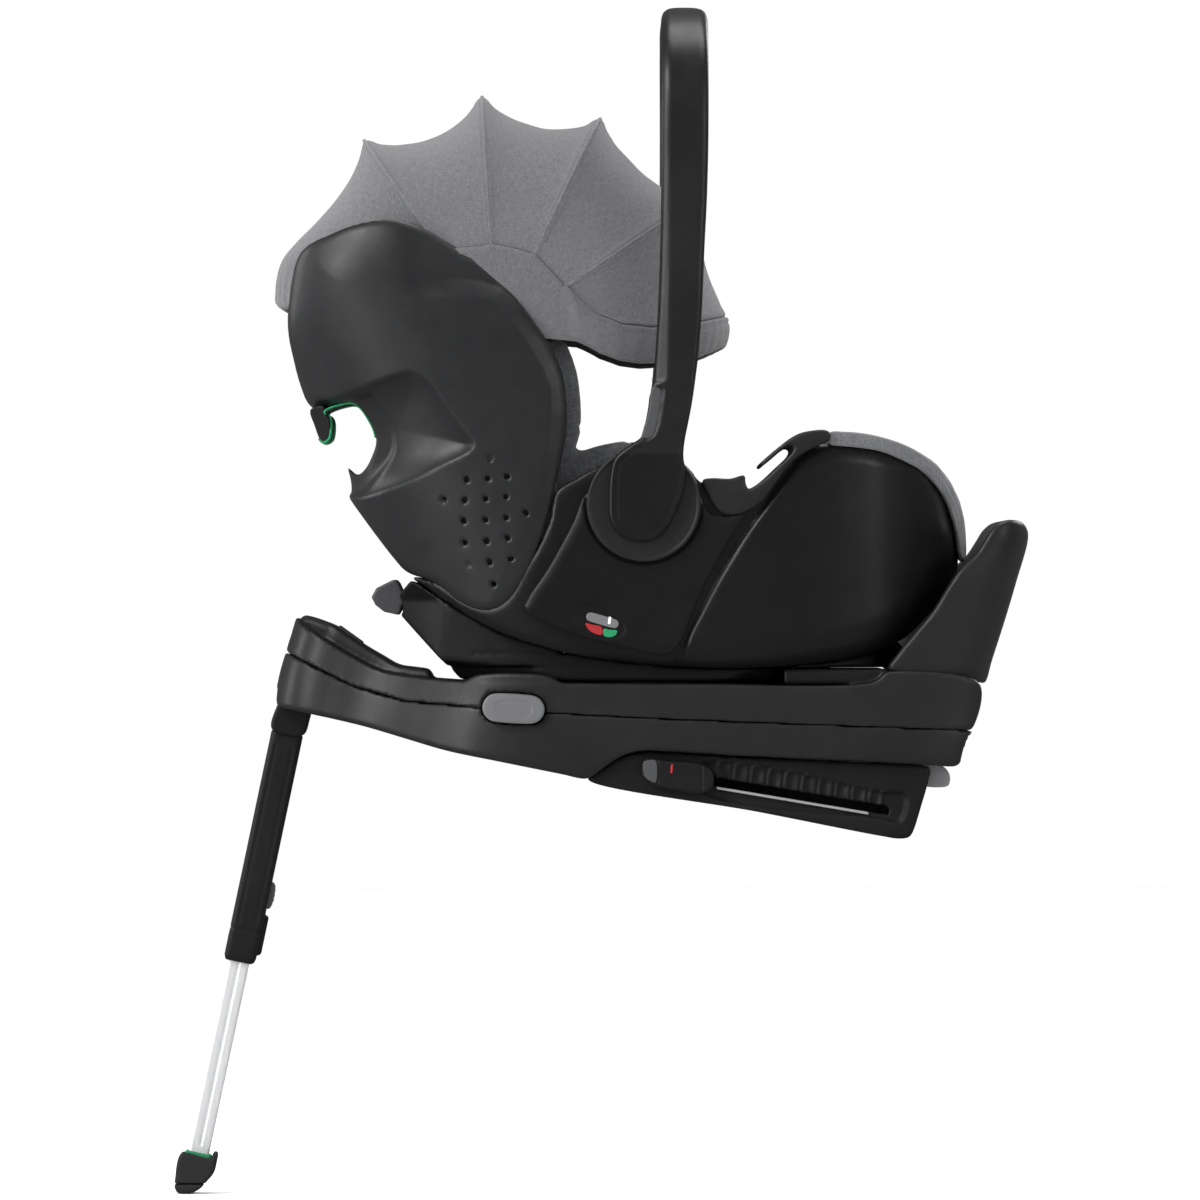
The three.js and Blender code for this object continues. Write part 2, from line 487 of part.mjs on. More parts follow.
// foam liner inside both shells
const foamOut = [
  [310, 275], [304, 300], [303, 330], [310, 366], [326, 379], [356, 378], [379, 389], [393, 408], [400, 430], [401, 448], [394, 470], [385, 487], [379, 498],
  [388, 515], [404, 537], [424, 557], [449, 574], [482, 590], [512, 603], [560, 624.5], [640, 641], [720, 646], [800, 641], [848, 632], [886, 614], [913, 593], [933, 568], [943, 546],
  [939, 520], [930, 500], [912, 484], [880, 467], [842, 461], [810, 464], [788, 482], [768, 505], [745, 503], [700, 500], [640, 480], [600, 482], [562, 500],
  [556, 440], [557, 402], [553, 370], [540, 345], [520, 318], [500, 298], [480, 281], [460, 268], [420, 249], [388, 243], [350, 250], [325, 260],
];
const foamIn = [
  [335, 250], [326, 300], [328, 345], [350, 356], [380, 366], [402, 385], [416, 410], [422, 440], [414, 480], [405, 500], [424, 528], [450, 550], [500, 575], [560, 598], [640, 616], [720, 621],
  [800, 616], [845, 606], [875, 590], [900, 566], [912, 540], [908, 520], [895, 503], [870, 495], [870, 200], [335, 200],
];
let foam = side(foamOut, -200, 200).intersect(carrierPlanFoam);
foam = foam.subtract(side(foamIn, -200, 200).intersect(carrierPlanFoamIn));

// ---- soft goods inside the carrier -----------------------------------------------------------------------------------
const backPad = [
  [339, 285], [332, 302], [334, 340], [353, 351], [383, 363], [405, 383], [419, 409], [425.5, 440], [418, 480], [410, 499.5], [427, 525], [452, 546], [490, 566],
  [505, 546], [480, 530], [458, 512], [444, 492], [448, 470], [452, 440], [444, 400], [425, 370], [400, 346], [372, 330], [358, 318], [354, 290], [346, 280],
];
add("back_pad", largest(side(backPad, -122, 122).intersect(headPlan(WALL + 38))), "cover_fabric");
const seatPad = [
  [494, 568.5], [530, 585], [562, 596.5], [640, 613.5], [720, 618.5], [798, 613.5], [842, 604], [871, 588], [896, 565], [908, 541], [900, 522], [884, 516], [872, 540], [850, 562], [820, 578],
  [760, 588], [690, 589], [620, 582], [560, 567], [510, 549],
];
let seatCushion = side(seatPad, -122, 122);
seatCushion = seatCushion.intersect(footPlan(50));
seatCushion = seatCushion.subtract(box(X(672), X(700), -22, 22, Z(640), Z(560)));
seatCushion = seatCushion.subtract(box(X(774), X(796), -15, 15, Z(596), Z(560)));
add("seat_pad", largest(seatCushion), "cover_fabric");
// padded side wings of the cover
const bolsterOut = [
  [352, 300], [360, 262], [392, 254], [420, 262], [460, 283], [500, 312], [530, 336], [560, 334], [568, 341], [575, 356], [581, 377], [583.5, 402], [583, 430],
  [579, 447], [600, 442], [638, 439.5], [700, 492], [745, 496], [768, 499], [790, 478], [812, 460], [845, 458], [868, 492], [868, 560], [840, 590], [800, 604], [720, 608], [640, 603],
  [560, 586], [500, 562], [452, 538], [430, 500], [430, 440], [415, 394], [388, 357], [352, 338],
];
let bolster = side(bolsterOut, -150, -124.5).intersect(headPlan(42).intersect(footPlan(42)));
pair("side_bolster", largest(bolster), "cover_fabric");
// cover edge wrapped over the foot-end rim
let trim = side([
  [830, 433], [860, 433], [880, 437], [900, 443], [920, 452], [937, 463.5], [950, 479], [960, 497], [967, 520], [970, 545], [970, 556], [966.8, 551.4], [960.8, 547.4], [957.8, 529.6], [950.8, 504.6],
  [938.6, 483.4], [918.4, 465.2], [880.2, 450.2], [842, 445.7], [829.8, 444.2],
], -200, 200).intersect(footPlan(-1.2));
trim = trim.subtract(side([[800, 400], [880, 400], [908, 420], [946, 470], [950, 500], [957.9, 547], [957, 570], [800, 600]], -200, 200).intersect(footPlan(22)));
add("foot_rim_cover", largest(trim), "canopy_fabric");

// headrest: back plate with two wings, sliding along the backrest
let headrest = side([[364, 268], [396, 266], [436, 288], [476, 320], [505, 348], [515, 372], [506, 398], [488, 408], [470, 398], [452, 396], [447, 380], [424, 352], [400, 332], [374, 318], [362, 308]], -121, 121);
headrest = headrest.subtract(side([[372, 240], [392, 300], [430, 330], [462, 366], [480, 420], [560, 420], [560, 240]], -96, 96));
headrest = headrest.intersect(headPlan(50));
add("headrest", largest(headrest), "cover_fabric");

// harness
function strap(points, width, thick) {
  // points: [u, v, y] along the strap; the strap's thickness lies in the side plane
  const c = new THREE.CatmullRomCurve3(points.map(([u, v, y]) => new THREE.Vector3(X(u), y, Z(v))));
  const n = points.length * 3;
  const rings = [];
  for (let i = 0; i <= n; i++) {
    const p = c.getPointAt(i / n), t = c.getTangentAt(i / n);
    const w = new THREE.Vector3(0, 1, 0);
    w.addScaledVector(t, -w.dot(t)).normalize();
    const h = new THREE.Vector3().crossVectors(w, t).normalize();
    const q = (a, b) => p.clone().addScaledVector(w, (a * width) / 2).addScaledVector(h, (b * thick) / 2).toArray();
    rings.push([q(-1, -1), q(1, -1), q(1, 1), q(-1, 1)]);
  }
  return loft(rings);
}
pair("shoulder_strap", strap([[456, 424, -46], [478, 444, -46], [494, 470, -47], [516, 500, -46], [546, 524, -40], [580, 538, -32], [604, 541, -28]], 36, 9), "webbing");
add("crotch_strap", strap([[686, 582, 0], [676, 570, 0], [664, 560, 0], [654, 553, 0]], 38, 9), "webbing");
let buckle = side([[612, 526], [622, 522], [646, 532], [655, 541], [651, 553], [640, 556], [618, 546], [610, 538]], -24, 24, 2.5);
buckle = buckle.subtract(side([[619, 514], [640, 522.5], [636.6, 533], [615.6, 524.5]], -12, 12));
add("buckle", largest(buckle), "shell_black");
add("buckle_button", side([[620.4, 519.6], [638.4, 526.9], [637, 531.2], [619, 523.9]], -11.3, 11.3), "button_red");

// release button of the harness adjuster, in the front of the seat
add("harness_adjuster_button", side([[776, 583.4], [792, 580.4], [793.5, 588], [777.5, 591]], -13, 13), "trim_grey");

// ---- carry handle ----------------------------------------------------------------------------------------------------
// Centre line in the side plane, and the arm's half width there.
const ARM = [
  [652, 500, 25], [656, 470, 20], [664, 452, 15.5], [669.5, 435, 13], [674, 412, 15.5], [676.5, 394, 15.8], [673, 376, 22.5], [675.5, 345, 22.6], [679, 300, 22.8], [682.3, 240, 23], [684, 180, 23.2],
];
const ringAt = (u, v, y, half, du, dv, ny, nz, thick) => {
  // the section: width across the side plane, thickness along the normal (ny, nz)
  const L = Math.hypot(du, dv);
  const wx = dv / L, wv = -du / L; // width direction on the grid
  const out = [];
  const hw = half, ht = thick / 2, c = 4.5;
  for (const [a, b] of [[-hw + c / GRID, -ht], [hw - c / GRID, -ht], [hw, -ht + c], [hw, ht - c], [hw - c / GRID, ht], [-hw + c / GRID, ht], [-hw, ht - c], [-hw, -ht + c]])
    out.push([X(u + wx * a), y + ny * b, Z(v + wv * a) + nz * b]);
  return out;
};
const bow = [];
const armAt = (i) => ARM[i];
for (let i = 0; i < ARM.length; i++) {
  const [u, v, h] = armAt(i);
  const a = ARM[Math.max(i - 1, 0)], b = ARM[Math.min(i + 1, ARM.length - 1)];
  const y = -(HANDLE_Y + (i < 3 ? 3.7 : i < 5 ? 2 : 0)) + Math.max(0, (300 - v) / 120) * 4;
  bow.push(ringAt(u, v, y, h, b[0] - a[0], b[1] - a[1], 1, 0, i < 3 ? 9 : i < 4 ? 13 : 18));
}
// bend over the top: quarter ellipse to the middle, mirrored
const TOP_V = 3, BEND_A = 201, bendStart = 180;
for (let k = 1; k <= 9; k++) {
  const t = (k / 9) * (Math.PI / 2);
  const ex = 3.4;
  const cy = Math.pow(Math.cos(t), 2 / ex), sz = Math.pow(Math.sin(t), 2 / ex);
  const y = -BEND_A * cy, v = bendStart - (bendStart - TOP_V - 10) * sz;
  // outward normal of the superellipse
  let ny = -Math.pow(Math.max(cy, 1e-6), ex - 1) / BEND_A, nz = Math.pow(Math.max(sz, 1e-6), ex - 1) / ((bendStart - TOP_V - 10) * GRID);
  const L = Math.hypot(ny, nz);
  ny /= L; nz /= L;
  const u = 684 + 0.6 * (k / 9);
  bow.push(ringAt(u, v, y, 23.2, -0.2, -10, -ny, -nz, 18 + 3 * (k / 9)));
}
const mirrored = bow.slice(0, -1).reverse().map((r) => [r[0], r[1], r[2], r[3], r[4], r[5], r[6], r[7]].map(([x, y, z]) => [x, -y, z]));
add("handle_bow", loft([...bow, ...mirrored]), "base_plastic");
pair("handle_hub", disc(HUB, HUB_R, -203.6, -196.2, 56), "shell_grey");
pair("handle_button", side([[651, 388], [655.5, 391], [655, 406], [649.5, 434], [642, 440], [641, 437]], -213, -200), "trim_grey");

// ---- canopy ----------------------------------------------------------------------------------------------------------
// Everything here turns about the canopy pivot. deg is measured on the side plane from +X upwards.
const ARCH = 3.1;
const arch = (R, W, i, n) => {
  const t = (i / n) * Math.PI; // 0 .. pi, from -Y over the top to +Y
  const c = Math.cos(t), s = Math.sin(t);
  const y = -W * Math.sign(c) * Math.pow(Math.abs(c), 2 / ARCH);
  const r = R * Math.pow(Math.abs(s), 2 / ARCH);
  return [Math.max(r, 14), y];
};
const polar = (deg, r, y) => {
  const a = (deg * Math.PI) / 180;
  return [X(CANOPY[0]) + r * Math.cos(a), y, Z(CANOPY[1]) + r * Math.sin(a)];
};
const N_ARCH = 22;
function canopyRib(deg, R, W = 180.8, tube = 2.6) {
  const rings = [];
  for (let i = 0; i <= N_ARCH; i++) {
    const [r, y] = arch(R, W, i, N_ARCH);
    const [ra, ya] = arch(R, W, Math.max(i - 1, 0), N_ARCH), [rb, yb] = arch(R, W, Math.min(i + 1, N_ARCH), N_ARCH);
    let tr = rb - ra, ty = yb - ya;
    const L = Math.hypot(tr, ty);
    tr /= L; ty /= L;
    const nr = -ty * -1, ny = -tr; // in-plane normal
    const d = (tube / r) * (180 / Math.PI); // half thickness as an angle
    const p = (a, b) => polar(deg + a * Math.min(d, 2.2), r + nr * b * tube, y + ny * b * tube);
    rings.push([p(-1, -1), p(1, -1), p(1, 1), p(-1, 1)]);
  }
  return loft(rings);
}
function canopyPanel(d0, d1, R, W, thick = 1.6, na = 5) {
  // a sector of an arched skin about the pivot
  const ring = (deg) => {
    const out = [];
    for (let i = 0; i <= N_ARCH; i++) { const [r, y] = arch(R, W, i, N_ARCH); out.push(polar(deg, r, y)); }
    for (let i = N_ARCH; i >= 0; i--) { const [r, y] = arch(R - thick, W - thick, i, N_ARCH); out.push(polar(deg, r, y)); }
    return out;
  };
  const n = (N_ARCH + 1) * 2;
  const pos = [], index = [];
  for (let k = 0; k <= na; k++) for (const p of ring(d0 + ((d1 - d0) * k) / na)) pos.push(...p);
  for (let k = 0; k < na; k++)
    for (let j = 0; j < n; j++) {
      const a = k * n + j, b = k * n + ((j + 1) % n), c = a + n, d = b + n;
      index.push(a, b, d, a, d, c);
    }
  for (const [base, flip] of [[0, true], [na * n, false]])
    for (let j = 0; j < N_ARCH; j++) {
      const a = base + j, b = base + j + 1, c = base + n - 1 - j, d = base + n - 2 - j;
      flip ? index.push(b, a, c, b, c, d) : index.push(a, b, c, b, d, c);
    }
  return solid(new THREE.BufferGeometry().setAttribute("position", new THREE.Float32BufferAttribute(pos, 3)).setIndex(index));
}
const RIBS = [124.2, 93.8, 64.9, 34.5, 5.3];
const RIB_R = [229, 232.5, 232, 226.5];
for (let i = 0; i < 4; i++) add(`canopy_rib_${i + 1}`, canopyRib(RIBS[i], RIB_R[i]), "shell_black");
// skins nest inside the ribs and inside the fixed back skin, each one a little larger than the one behind it
const PANEL_R = [210, 212.6, 215.2, 217.8];
for (let i = 0; i < 4; i++)
  add(["canopy_skin_rear", "canopy_skin_top", "canopy_skin_front", "canopy_visor"][i],
    canopyPanel(i === 3 ? -7.5 : RIBS[i + 1] - 0.3, RIBS[i] - (i === 0 ? 1.2 : 1.0), PANEL_R[i], 168.4 + 2.3 * i, 1.3), "canopy_fabric");
// the liner stays inside the sweep of the folding skins
add("foam_liner", largest(foam.subtract(canopyPanel(84, 178, 262, 222, 58, 12))), "foam");
// back skin, fixed to the head shell: it lies over the top edge of the shell
let rear = canopyPanel(125.8, 170.5, 221.6, 177.8, 1.7, 8);
const grown = side(headOut.map(([u, v]) => [u + (u - 430) * 0.012, v + (v - 420) * 0.012]), -200, 200).intersect(headPlan(-1.5).intersect(footPlan(-1.5)));
rear = largest(rear.subtract(grown));
add("canopy_skin_back", rear, "canopy_fabric");

export default root;
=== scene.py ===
# Looks of the infant car seat on its ISOFIX base. Lengths inside the helpers are millimetres; Blender objects are in metres.
import math
import bpy
import numpy as np
import openvdb
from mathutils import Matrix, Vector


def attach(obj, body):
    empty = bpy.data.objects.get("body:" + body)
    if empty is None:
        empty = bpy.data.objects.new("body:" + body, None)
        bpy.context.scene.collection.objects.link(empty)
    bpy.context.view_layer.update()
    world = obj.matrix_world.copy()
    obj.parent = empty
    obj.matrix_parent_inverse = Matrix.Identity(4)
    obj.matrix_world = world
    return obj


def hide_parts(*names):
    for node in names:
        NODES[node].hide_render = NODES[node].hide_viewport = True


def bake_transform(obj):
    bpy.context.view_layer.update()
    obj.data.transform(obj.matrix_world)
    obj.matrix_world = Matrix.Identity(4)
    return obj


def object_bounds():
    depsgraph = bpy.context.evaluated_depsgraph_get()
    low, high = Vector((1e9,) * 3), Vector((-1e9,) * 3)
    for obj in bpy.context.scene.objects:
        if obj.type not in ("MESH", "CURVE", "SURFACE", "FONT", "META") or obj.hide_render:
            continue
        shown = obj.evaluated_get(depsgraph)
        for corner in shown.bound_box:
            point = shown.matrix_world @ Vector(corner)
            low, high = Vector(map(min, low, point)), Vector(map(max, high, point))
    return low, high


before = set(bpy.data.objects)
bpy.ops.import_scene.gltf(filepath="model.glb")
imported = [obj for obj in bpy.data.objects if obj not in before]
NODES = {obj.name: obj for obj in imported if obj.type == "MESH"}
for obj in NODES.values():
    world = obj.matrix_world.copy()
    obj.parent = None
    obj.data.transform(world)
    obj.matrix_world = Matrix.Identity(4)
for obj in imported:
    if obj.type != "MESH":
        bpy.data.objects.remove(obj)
CAD_BOX = [list(map(float, c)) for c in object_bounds()]

# ---- drawing grid, as in the CAD -------------------------------------------------------------------------------------
G, U0, V0 = 0.97, 940.0, 777.0
X = lambda u: G * (np.asarray(u, float) - U0)
Z = lambda v: G * (V0 - np.asarray(v, float))

# ---- camera: side view at the seat's own level ----------------------------------------------------------------------------
CX, CZ = -0.3298, 0.1717
DIST = 14.0
cam = bpy.data.cameras.new("view")
cam.sensor_width = 36
cam.lens = 36 * (DIST - 0.14) / 1.164
cam.clip_end = 100
cam_ob = bpy.data.objects.new("view", cam)
cam_ob.location = (CX, -DIST, CZ)
cam_ob.rotation_euler = (math.pi / 2, 0, 0)
bpy.context.scene.collection.objects.link(cam_ob)
bpy.context.scene.camera = cam_ob

# ---- outlines --------------------------------------------------------------------------------------------------------
BASE_PLAN = [[270,0],[271.5,28],[276,50],[286,68],[302,80],[330,88],[362,97],[392,112],[422,132],[452,151],[482,165],[520,174],[560,178],[640,181],[760,182],[860,182],[930,178],[972,168],[990,150],[996,0]]
LOWER_IN = [[286,640],[420,640],[960,640],[962,748],[926,760],[860,757],[740,751],[640,746],[620,749],[604,760],[586,773],[560,769],[500,757],[446,746],[404,734],[364,722],[311,711],[280,700]]
UPPER_OUT = [[293,616],[299,624],[312,633],[330,645],[352,658],[380,672],[405,676],[463,681.5],[562,682.5],[700,683.5],[874,681],[886,671],[979,683.5],[966,730],[654,718],[560,713],[478,707],[405,701],[352,686],[284,652]]
CROWN = [[293,616],[330,624],[345,633],[364,646],[381,656],[397,665],[416,668],[428,671],[432,690],[405,700],[352,685.5],[300,655]]
UPPER_IN = [[298,626],[316,641],[352,664],[380,678],[405,682],[463,686],[560,688],[700,690],[874,688],[960,690],[956,740],[654,740],[560,740],[405,740],[290,690]]
HOUSING = [[590,778.4],[607,766],[625,755],[643,751],[740,756],[860,762],[926,765.5],[931,768],[929,776],[912,832],[907,837],[899,838.5]]
BAR_OUT = [[888,668.5],[897,653],[915,631],[932,611],[948,585],[960,569],[975,553],[985,536],[993,527],[1000,522],[1010,520],[1020,522],[1028,530],[1030,540],[1018,580],[1006,620],[993,660],[985.5,683.3],[979,682.5]]
BAR_PLAN = [[840,176],[900,178],[950,174],[985,160],[1003,135],[1014,95],[1020,0]]
CRADLE = [[395,601],[411,583],[416,585],[429,593.8],[459.5,614],[499.5,635],[559.5,654],[619.5,664.2],[700,670.2],[760,670.2],[820,665.2],[860.7,657.3],[890.8,646.4],[896,650],[896,672],[862,680.8],[463,680.8],[400,613]]
HEAD_PLAN = [[266,0],[267,35],[270,62],[277,88],[290,114],[308,135],[334,155],[370,173],[410,184],[460,190],[560,192],[700,192],[1300,192]]
FOOT_PLAN = [[200,188],[500,190],[600,192],[700,191],[760,188],[810,182],[850,174],[880,164],[905,149],[925,131],[942,108],[955,82],[964,52],[968,25],[969,0]]
CHANNEL = [[280,437],[318,437],[323,440],[328,438],[330,430],[329,421],[323,411],[345,402],[353,402],[361,408],[368,418],[374,430],[376,442],[372,455],[365,468],[358,474],[352,472],[345,465],[336,459],[330,460],[280,459]]
HEAD_OUT = [[300,255],[310,246],[330,235],[350,227],[370,222],[388,220],[404,221],[420,226],[440,237],[460,248],[480,262],[500,280],[520,303],[536,325],[550,345],[562,366],[567,386],[568,402],[567,430],[563,452],[556,472],[551,495],[540,530],[530,560],[520,584],[511,598],[501,607],[490,610.5],[477,610],[463,604],[448,592],[436,580],[409,574.5],[403,570],[392,556],[378,539],[364,519],[349,498],[338,478],[329,458],[318,437],[309,411],[303,396],[297,378],[292,355],[288,335],[287,300],[291,270]]
HEAD_IN = [[306,240],[298,280],[294,303],[296,335],[303,370],[320,383],[352,382],[375,392],[389,410],[396,430],[397,447],[390,468],[380,486],[373,498],[383,518],[400,541],[420,562],[440,575],[447,592],[462,606],[480,614],[540,614],[600,560],[600,180],[306,180]]
SEAT_RIM = [[558,485],[575,478],[600,466],[640,458],[680,461],[700,482],[712,486],[742,486],[750,494],[764,490],[780,470],[798,452],[815,444],[842,446.5],[880,451],[918,466],[938,484],[950,505],[957,530],[960,548]]
SEAT_IN = [[440,588],[462,598],[500,611],[560,634],[640,649],[720,654],[800,649],[850,640],[890,622],[918,600],[940,573],[951,548],[947,515],[936,492],[916,475],[880,459],[842,453],[842,380],[440,380]]
SIDE_PANEL = [[562,492],[590,470],[640,462],[682,466],[698,486],[706,512],[722,517],[744,515],[741,522],[720,552],[700,592],[679,645],[671,653],[660,654.5],[640,651],[600,640],[562,627],[530,613],[524,604],[527,592],[545,555]]
FOAM_OUT = [[310,275],[304,300],[303,330],[310,366],[326,379],[356,378],[379,389],[393,408],[400,430],[401,448],[394,470],[385,487],[379,498],[388,515],[404,537],[424,557],[449,574],[482,590],[512,603],[560,624.5],[640,641],[720,646],[800,641],[848,632],[886,614],[913,593],[933,568],[943,546],[939,520],[930,500],[912,484],[880,467],[842,461],[810,464],[788,482],[768,505],[745,503],[700,500],[640,480],[600,482],[562,500],[556,440],[557,402],[553,370],[540,345],[520,318],[500,298],[480,281],[460,268],[420,249],[388,243],[350,250],[325,260]]
FOAM_IN = [[335,250],[326,300],[328,345],[350,356],[380,366],[402,385],[416,410],[422,440],[414,480],[405,500],[424,528],[450,550],[500,575],[560,598],[640,616],[720,621],[800,616],[845,606],[875,590],[900,566],[912,540],[908,520],[895,503],[870,495],[870,200],[335,200]]
BACK_PAD = [[339,285],[332,302],[334,340],[353,351],[383,363],[405,383],[419,409],[425.5,440],[418,480],[410,499.5],[427,525],[452,546],[490,566],[505,546],[480,530],[458,512],[444,492],[448,470],[452,440],[444,400],[425,370],[400,346],[372,330],[358,318],[354,290],[346,280]]
SEAT_PAD = [[494,568.5],[530,585],[562,596.5],[640,613.5],[720,618.5],[798,613.5],[842,604],[871,588],[896,565],[908,541],[900,522],[884,516],[872,540],[850,562],[820,578],[760,588],[690,589],[620,582],[560,567],[510,549]]
BOLSTER = [[352,300],[360,262],[392,254],[420,262],[460,283],[500,312],[530,336],[560,334],[568,341],[575,356],[581,377],[583.5,402],[583,430],[579,447],[600,442],[638,439.5],[700,492],[745,496],[768,499],[790,478],[812,460],[845,458],[868,492],[868,560],[840,590],[800,604],[720,608],[640,603],[560,586],[500,562],[452,538],[430,500],[430,440],[415,394],[388,357],[352,338]]
LOWER_EDGE = [[274,703],[311,715],[364,726.5],[404,738],[446,750],[500,761],[560,773],[586,778],[606,765],[624,754],[643,750],[740,755],[860,761],[926,764.5],[958.5,764.5]]

SWIVEL_U, HUB, PIVOT, LEG_TOP, LEG_TILT, SLOPE = 640, (643.5, 505), (497, 335), (292.5, 695), math.radians(11.9), math.radians(9.5)


# ---- distance-field modelling ------------------------------------------------------------------------------------------
def spline(pts, closed=True, step=5.0):
    """A centripetal Catmull-Rom curve through the points."""
    p = np.array(pts, float)
    keep = [0]
    for i in range(1, len(p)):
        if np.hypot(*(p[i] - p[keep[-1]])) > 0.05:
            keep.append(i)
    p = p[keep]
    if closed and np.hypot(*(p[0] - p[-1])) < 0.05:
        p = p[:-1]
    q = np.vstack([p[-1], p, p[0], p[1]]) if closed else np.vstack([2 * p[0] - p[1], p, 2 * p[-1] - p[-2]])
    out = []
    for i in range(1, len(q) - 2):
        a, b, c, d = q[i - 1], q[i], q[i + 1], q[i + 2]
        t0 = 0.0
        t1 = t0 + math.sqrt(np.hypot(*(b - a)))
        t2 = t1 + math.sqrt(np.hypot(*(c - b)))
        t3 = t2 + math.sqrt(np.hypot(*(d - c)))
        n = max(1, int(math.ceil(np.hypot(*(c - b)) / step)))
        s = np.linspace(t1, t2, n, endpoint=False)[:, None]
        a1 = (t1 - s) / (t1 - t0) * a + (s - t0) / (t1 - t0) * b
        a2 = (t2 - s) / (t2 - t1) * b + (s - t1) / (t2 - t1) * c
        a3 = (t3 - s) / (t3 - t2) * c + (s - t2) / (t3 - t2) * d
        b1 = (t2 - s) / (t2 - t0) * a1 + (s - t0) / (t2 - t0) * a2
        b2 = (t3 - s) / (t3 - t1) * a2 + (s - t1) / (t3 - t1) * a3
        out.append((t2 - s) / (t2 - t1) * b1 + (s - t1) / (t2 - t1) * b2)
    if not closed:
        out.append(q[-2][None])
    return np.vstack(out)


def poly_sdf(pts, a, b):
    """Signed distance to a closed outline over the grid a x b, negative inside."""
    shape = np.broadcast(a, b).shape
    d = np.full(shape, 1e12, np.float32)
    inside = np.zeros(shape, bool)
    p = np.asarray(pts, np.float32)
    for (x0, z0), (x1, z1) in zip(p, np.roll(p, -1, 0)):
        ex, ez = x1 - x0, z1 - z0
        l2 = ex * ex + ez * ez
        if l2 < 1e-9:
            continue
        wx, wz = a - x0, b - z0
        t = np.clip((wx * ex + wz * ez) / l2, 0, 1)
        np.minimum(d, (wx - ex * t) ** 2 + (wz - ez * t) ** 2, out=d)
        if abs(ez) > 1e-9:
            inside ^= ((z0 <= b) != (z1 <= b)) & (a < x0 + (b - z0) * (ex / ez))
    d = np.sqrt(d)
    return np.where(inside, -d, d)


def line_dist(pts, a, b, radii=None):
    """Distance to an open line, less a radius that may change along it."""
    p = np.asarray(pts, np.float32)
    r = np.zeros(len(p), np.float32) if radii is None else np.asarray(radii, np.float32)
    d = np.full(np.broadcast(a, b).shape, 1e6, np.float32)
    for i in range(len(p) - 1):
        (x0, z0), (x1, z1) = p[i], p[i + 1]
        ex, ez = x1 - x0, z1 - z0
        t = np.clip(((a - x0) * ex + (b - z0) * ez) / max(ex * ex + ez * ez, 1e-9), 0, 1)
        np.minimum(d, np.hypot(a - x0 - ex * t, b - z0 - ez * t) - (r[i] * (1 - t) + r[i + 1] * t), out=d)
    return d


def both(a, b, r=2.0):
    """Intersection with a rounded edge."""
    if r <= 0:
        return np.maximum(a, b)
    return np.minimum(np.maximum(a, b), -r) + np.hypot(np.maximum(a + r, 0), np.maximum(b + r, 0))


def cut(a, b, r=1.5):
    return both(a, -b, r)


def join(a, b, r=2.0):
    return -both(-a, -b, r)


def smooth(t):
    t = np.clip(t, 0, 1)
    return t * t * (3 - 2 * t)


def roll(d, width):
    """1 at an edge, 0 from width inwards."""
    return (1 - np.clip(d / width, 0, 1)) ** 2


class Vol:
    def __init__(s, u0, u1, v0, v1, y0, y1, h):
        s.h = float(h)
        s.o = np.array([X(u0), y0, Z(v1)])
        n = [int(math.ceil((b - a) / h)) + 1 for a, b in ((X(u0), X(u1)), (y0, y1), (Z(v1), Z(v0)))]
        f = np.float32
        s.x = (s.o[0] + h * np.arange(n[0])).astype(f)[:, None, None]
        s.y = (s.o[1] + h * np.arange(n[1])).astype(f)[None, :, None]
        s.z = (s.o[2] + h * np.arange(n[2])).astype(f)[None, None, :]
        s.ay = np.abs(s.y)
        s.u = s.x / G + U0
        s.v = V0 - s.z / G

    def side(s, pts, curve=True, step=5.0):
        p = spline(pts, True, step) if curve else np.array(pts, float)
        p = np.stack([X(p[:, 0]), Z(p[:, 1])], 1)
        return poly_sdf(p, s.x[:, :, 0], s.z[:, 0, :])[:, None, :]

    def line(s, pts, curve=True):
        p = spline(pts, False) if curve else np.array(pts, float)
        p = np.stack([X(p[:, 0]), Z(p[:, 1])], 1)
        return line_dist(p, s.x[:, :, 0], s.z[:, 0, :])[:, None, :]

    def plan(s, prof, lean=0.0, vref=700.0):
        prof = [(u, h) for u, h in prof]
        ring = [(X(u), h) for u, h in prof] + [(X(u), -h) for u, h in prof[::-1] if h > 0.01]
        p = spline(ring, True, 6.0)
        if lean == 0:
            return poly_sdf(p, s.x[:, :, 0], s.ay[:, :, 0])[:, :, None]
        zr = float(Z(vref))
        shift = lean * (s.z.ravel() - zr)
        lo = float(s.x.min() - shift.max()) - 2 * s.h
        hi = float(s.x.max() - shift.min()) + 2 * s.h
        xs = (lo + s.h * np.arange(int((hi - lo) / s.h) + 3)).astype(np.float32)[:, None]
        t = poly_sdf(p, xs, s.ay[:, :, 0])
        out = np.empty((s.x.size, s.y.size, s.z.size), np.float32)
        for k, sh in enumerate(shift):
            q = (float(s.x[0, 0, 0]) - sh - lo) / s.h
            i = int(q)
            w = q - i
            out[:, :, k] = t[i : i + s.x.size] * (1 - w) + t[i + 1 : i + 1 + s.x.size] * w
        return out

    def turned(s, prof, u=SWIVEL_U):
        r = np.hypot(s.x - X(u), s.y)[:, :, 0]
        rs = (s.h * np.arange(int(r.max() / s.h) + 3)).astype(np.float32)[:, None]
        ring = [(a, float(Z(b))) for a, b in prof] + [(-a, float(Z(b))) for a, b in prof[::-1] if a > 0.01]
        t = poly_sdf(ring, rs, s.z[:, 0, :])
        q = r / s.h
        i = q.astype(int)
        w = (q - i)[:, :, None].astype(np.float32)
        return t[i] * (1 - w) + t[i + 1] * w

    def slab(s, y0, y1):
        return np.maximum(y0 - s.y, s.y - y1)

    def full(s, f):
        return np.ascontiguousarray(np.broadcast_to(f, (s.x.size, s.y.size, s.z.size)), dtype=np.float32)


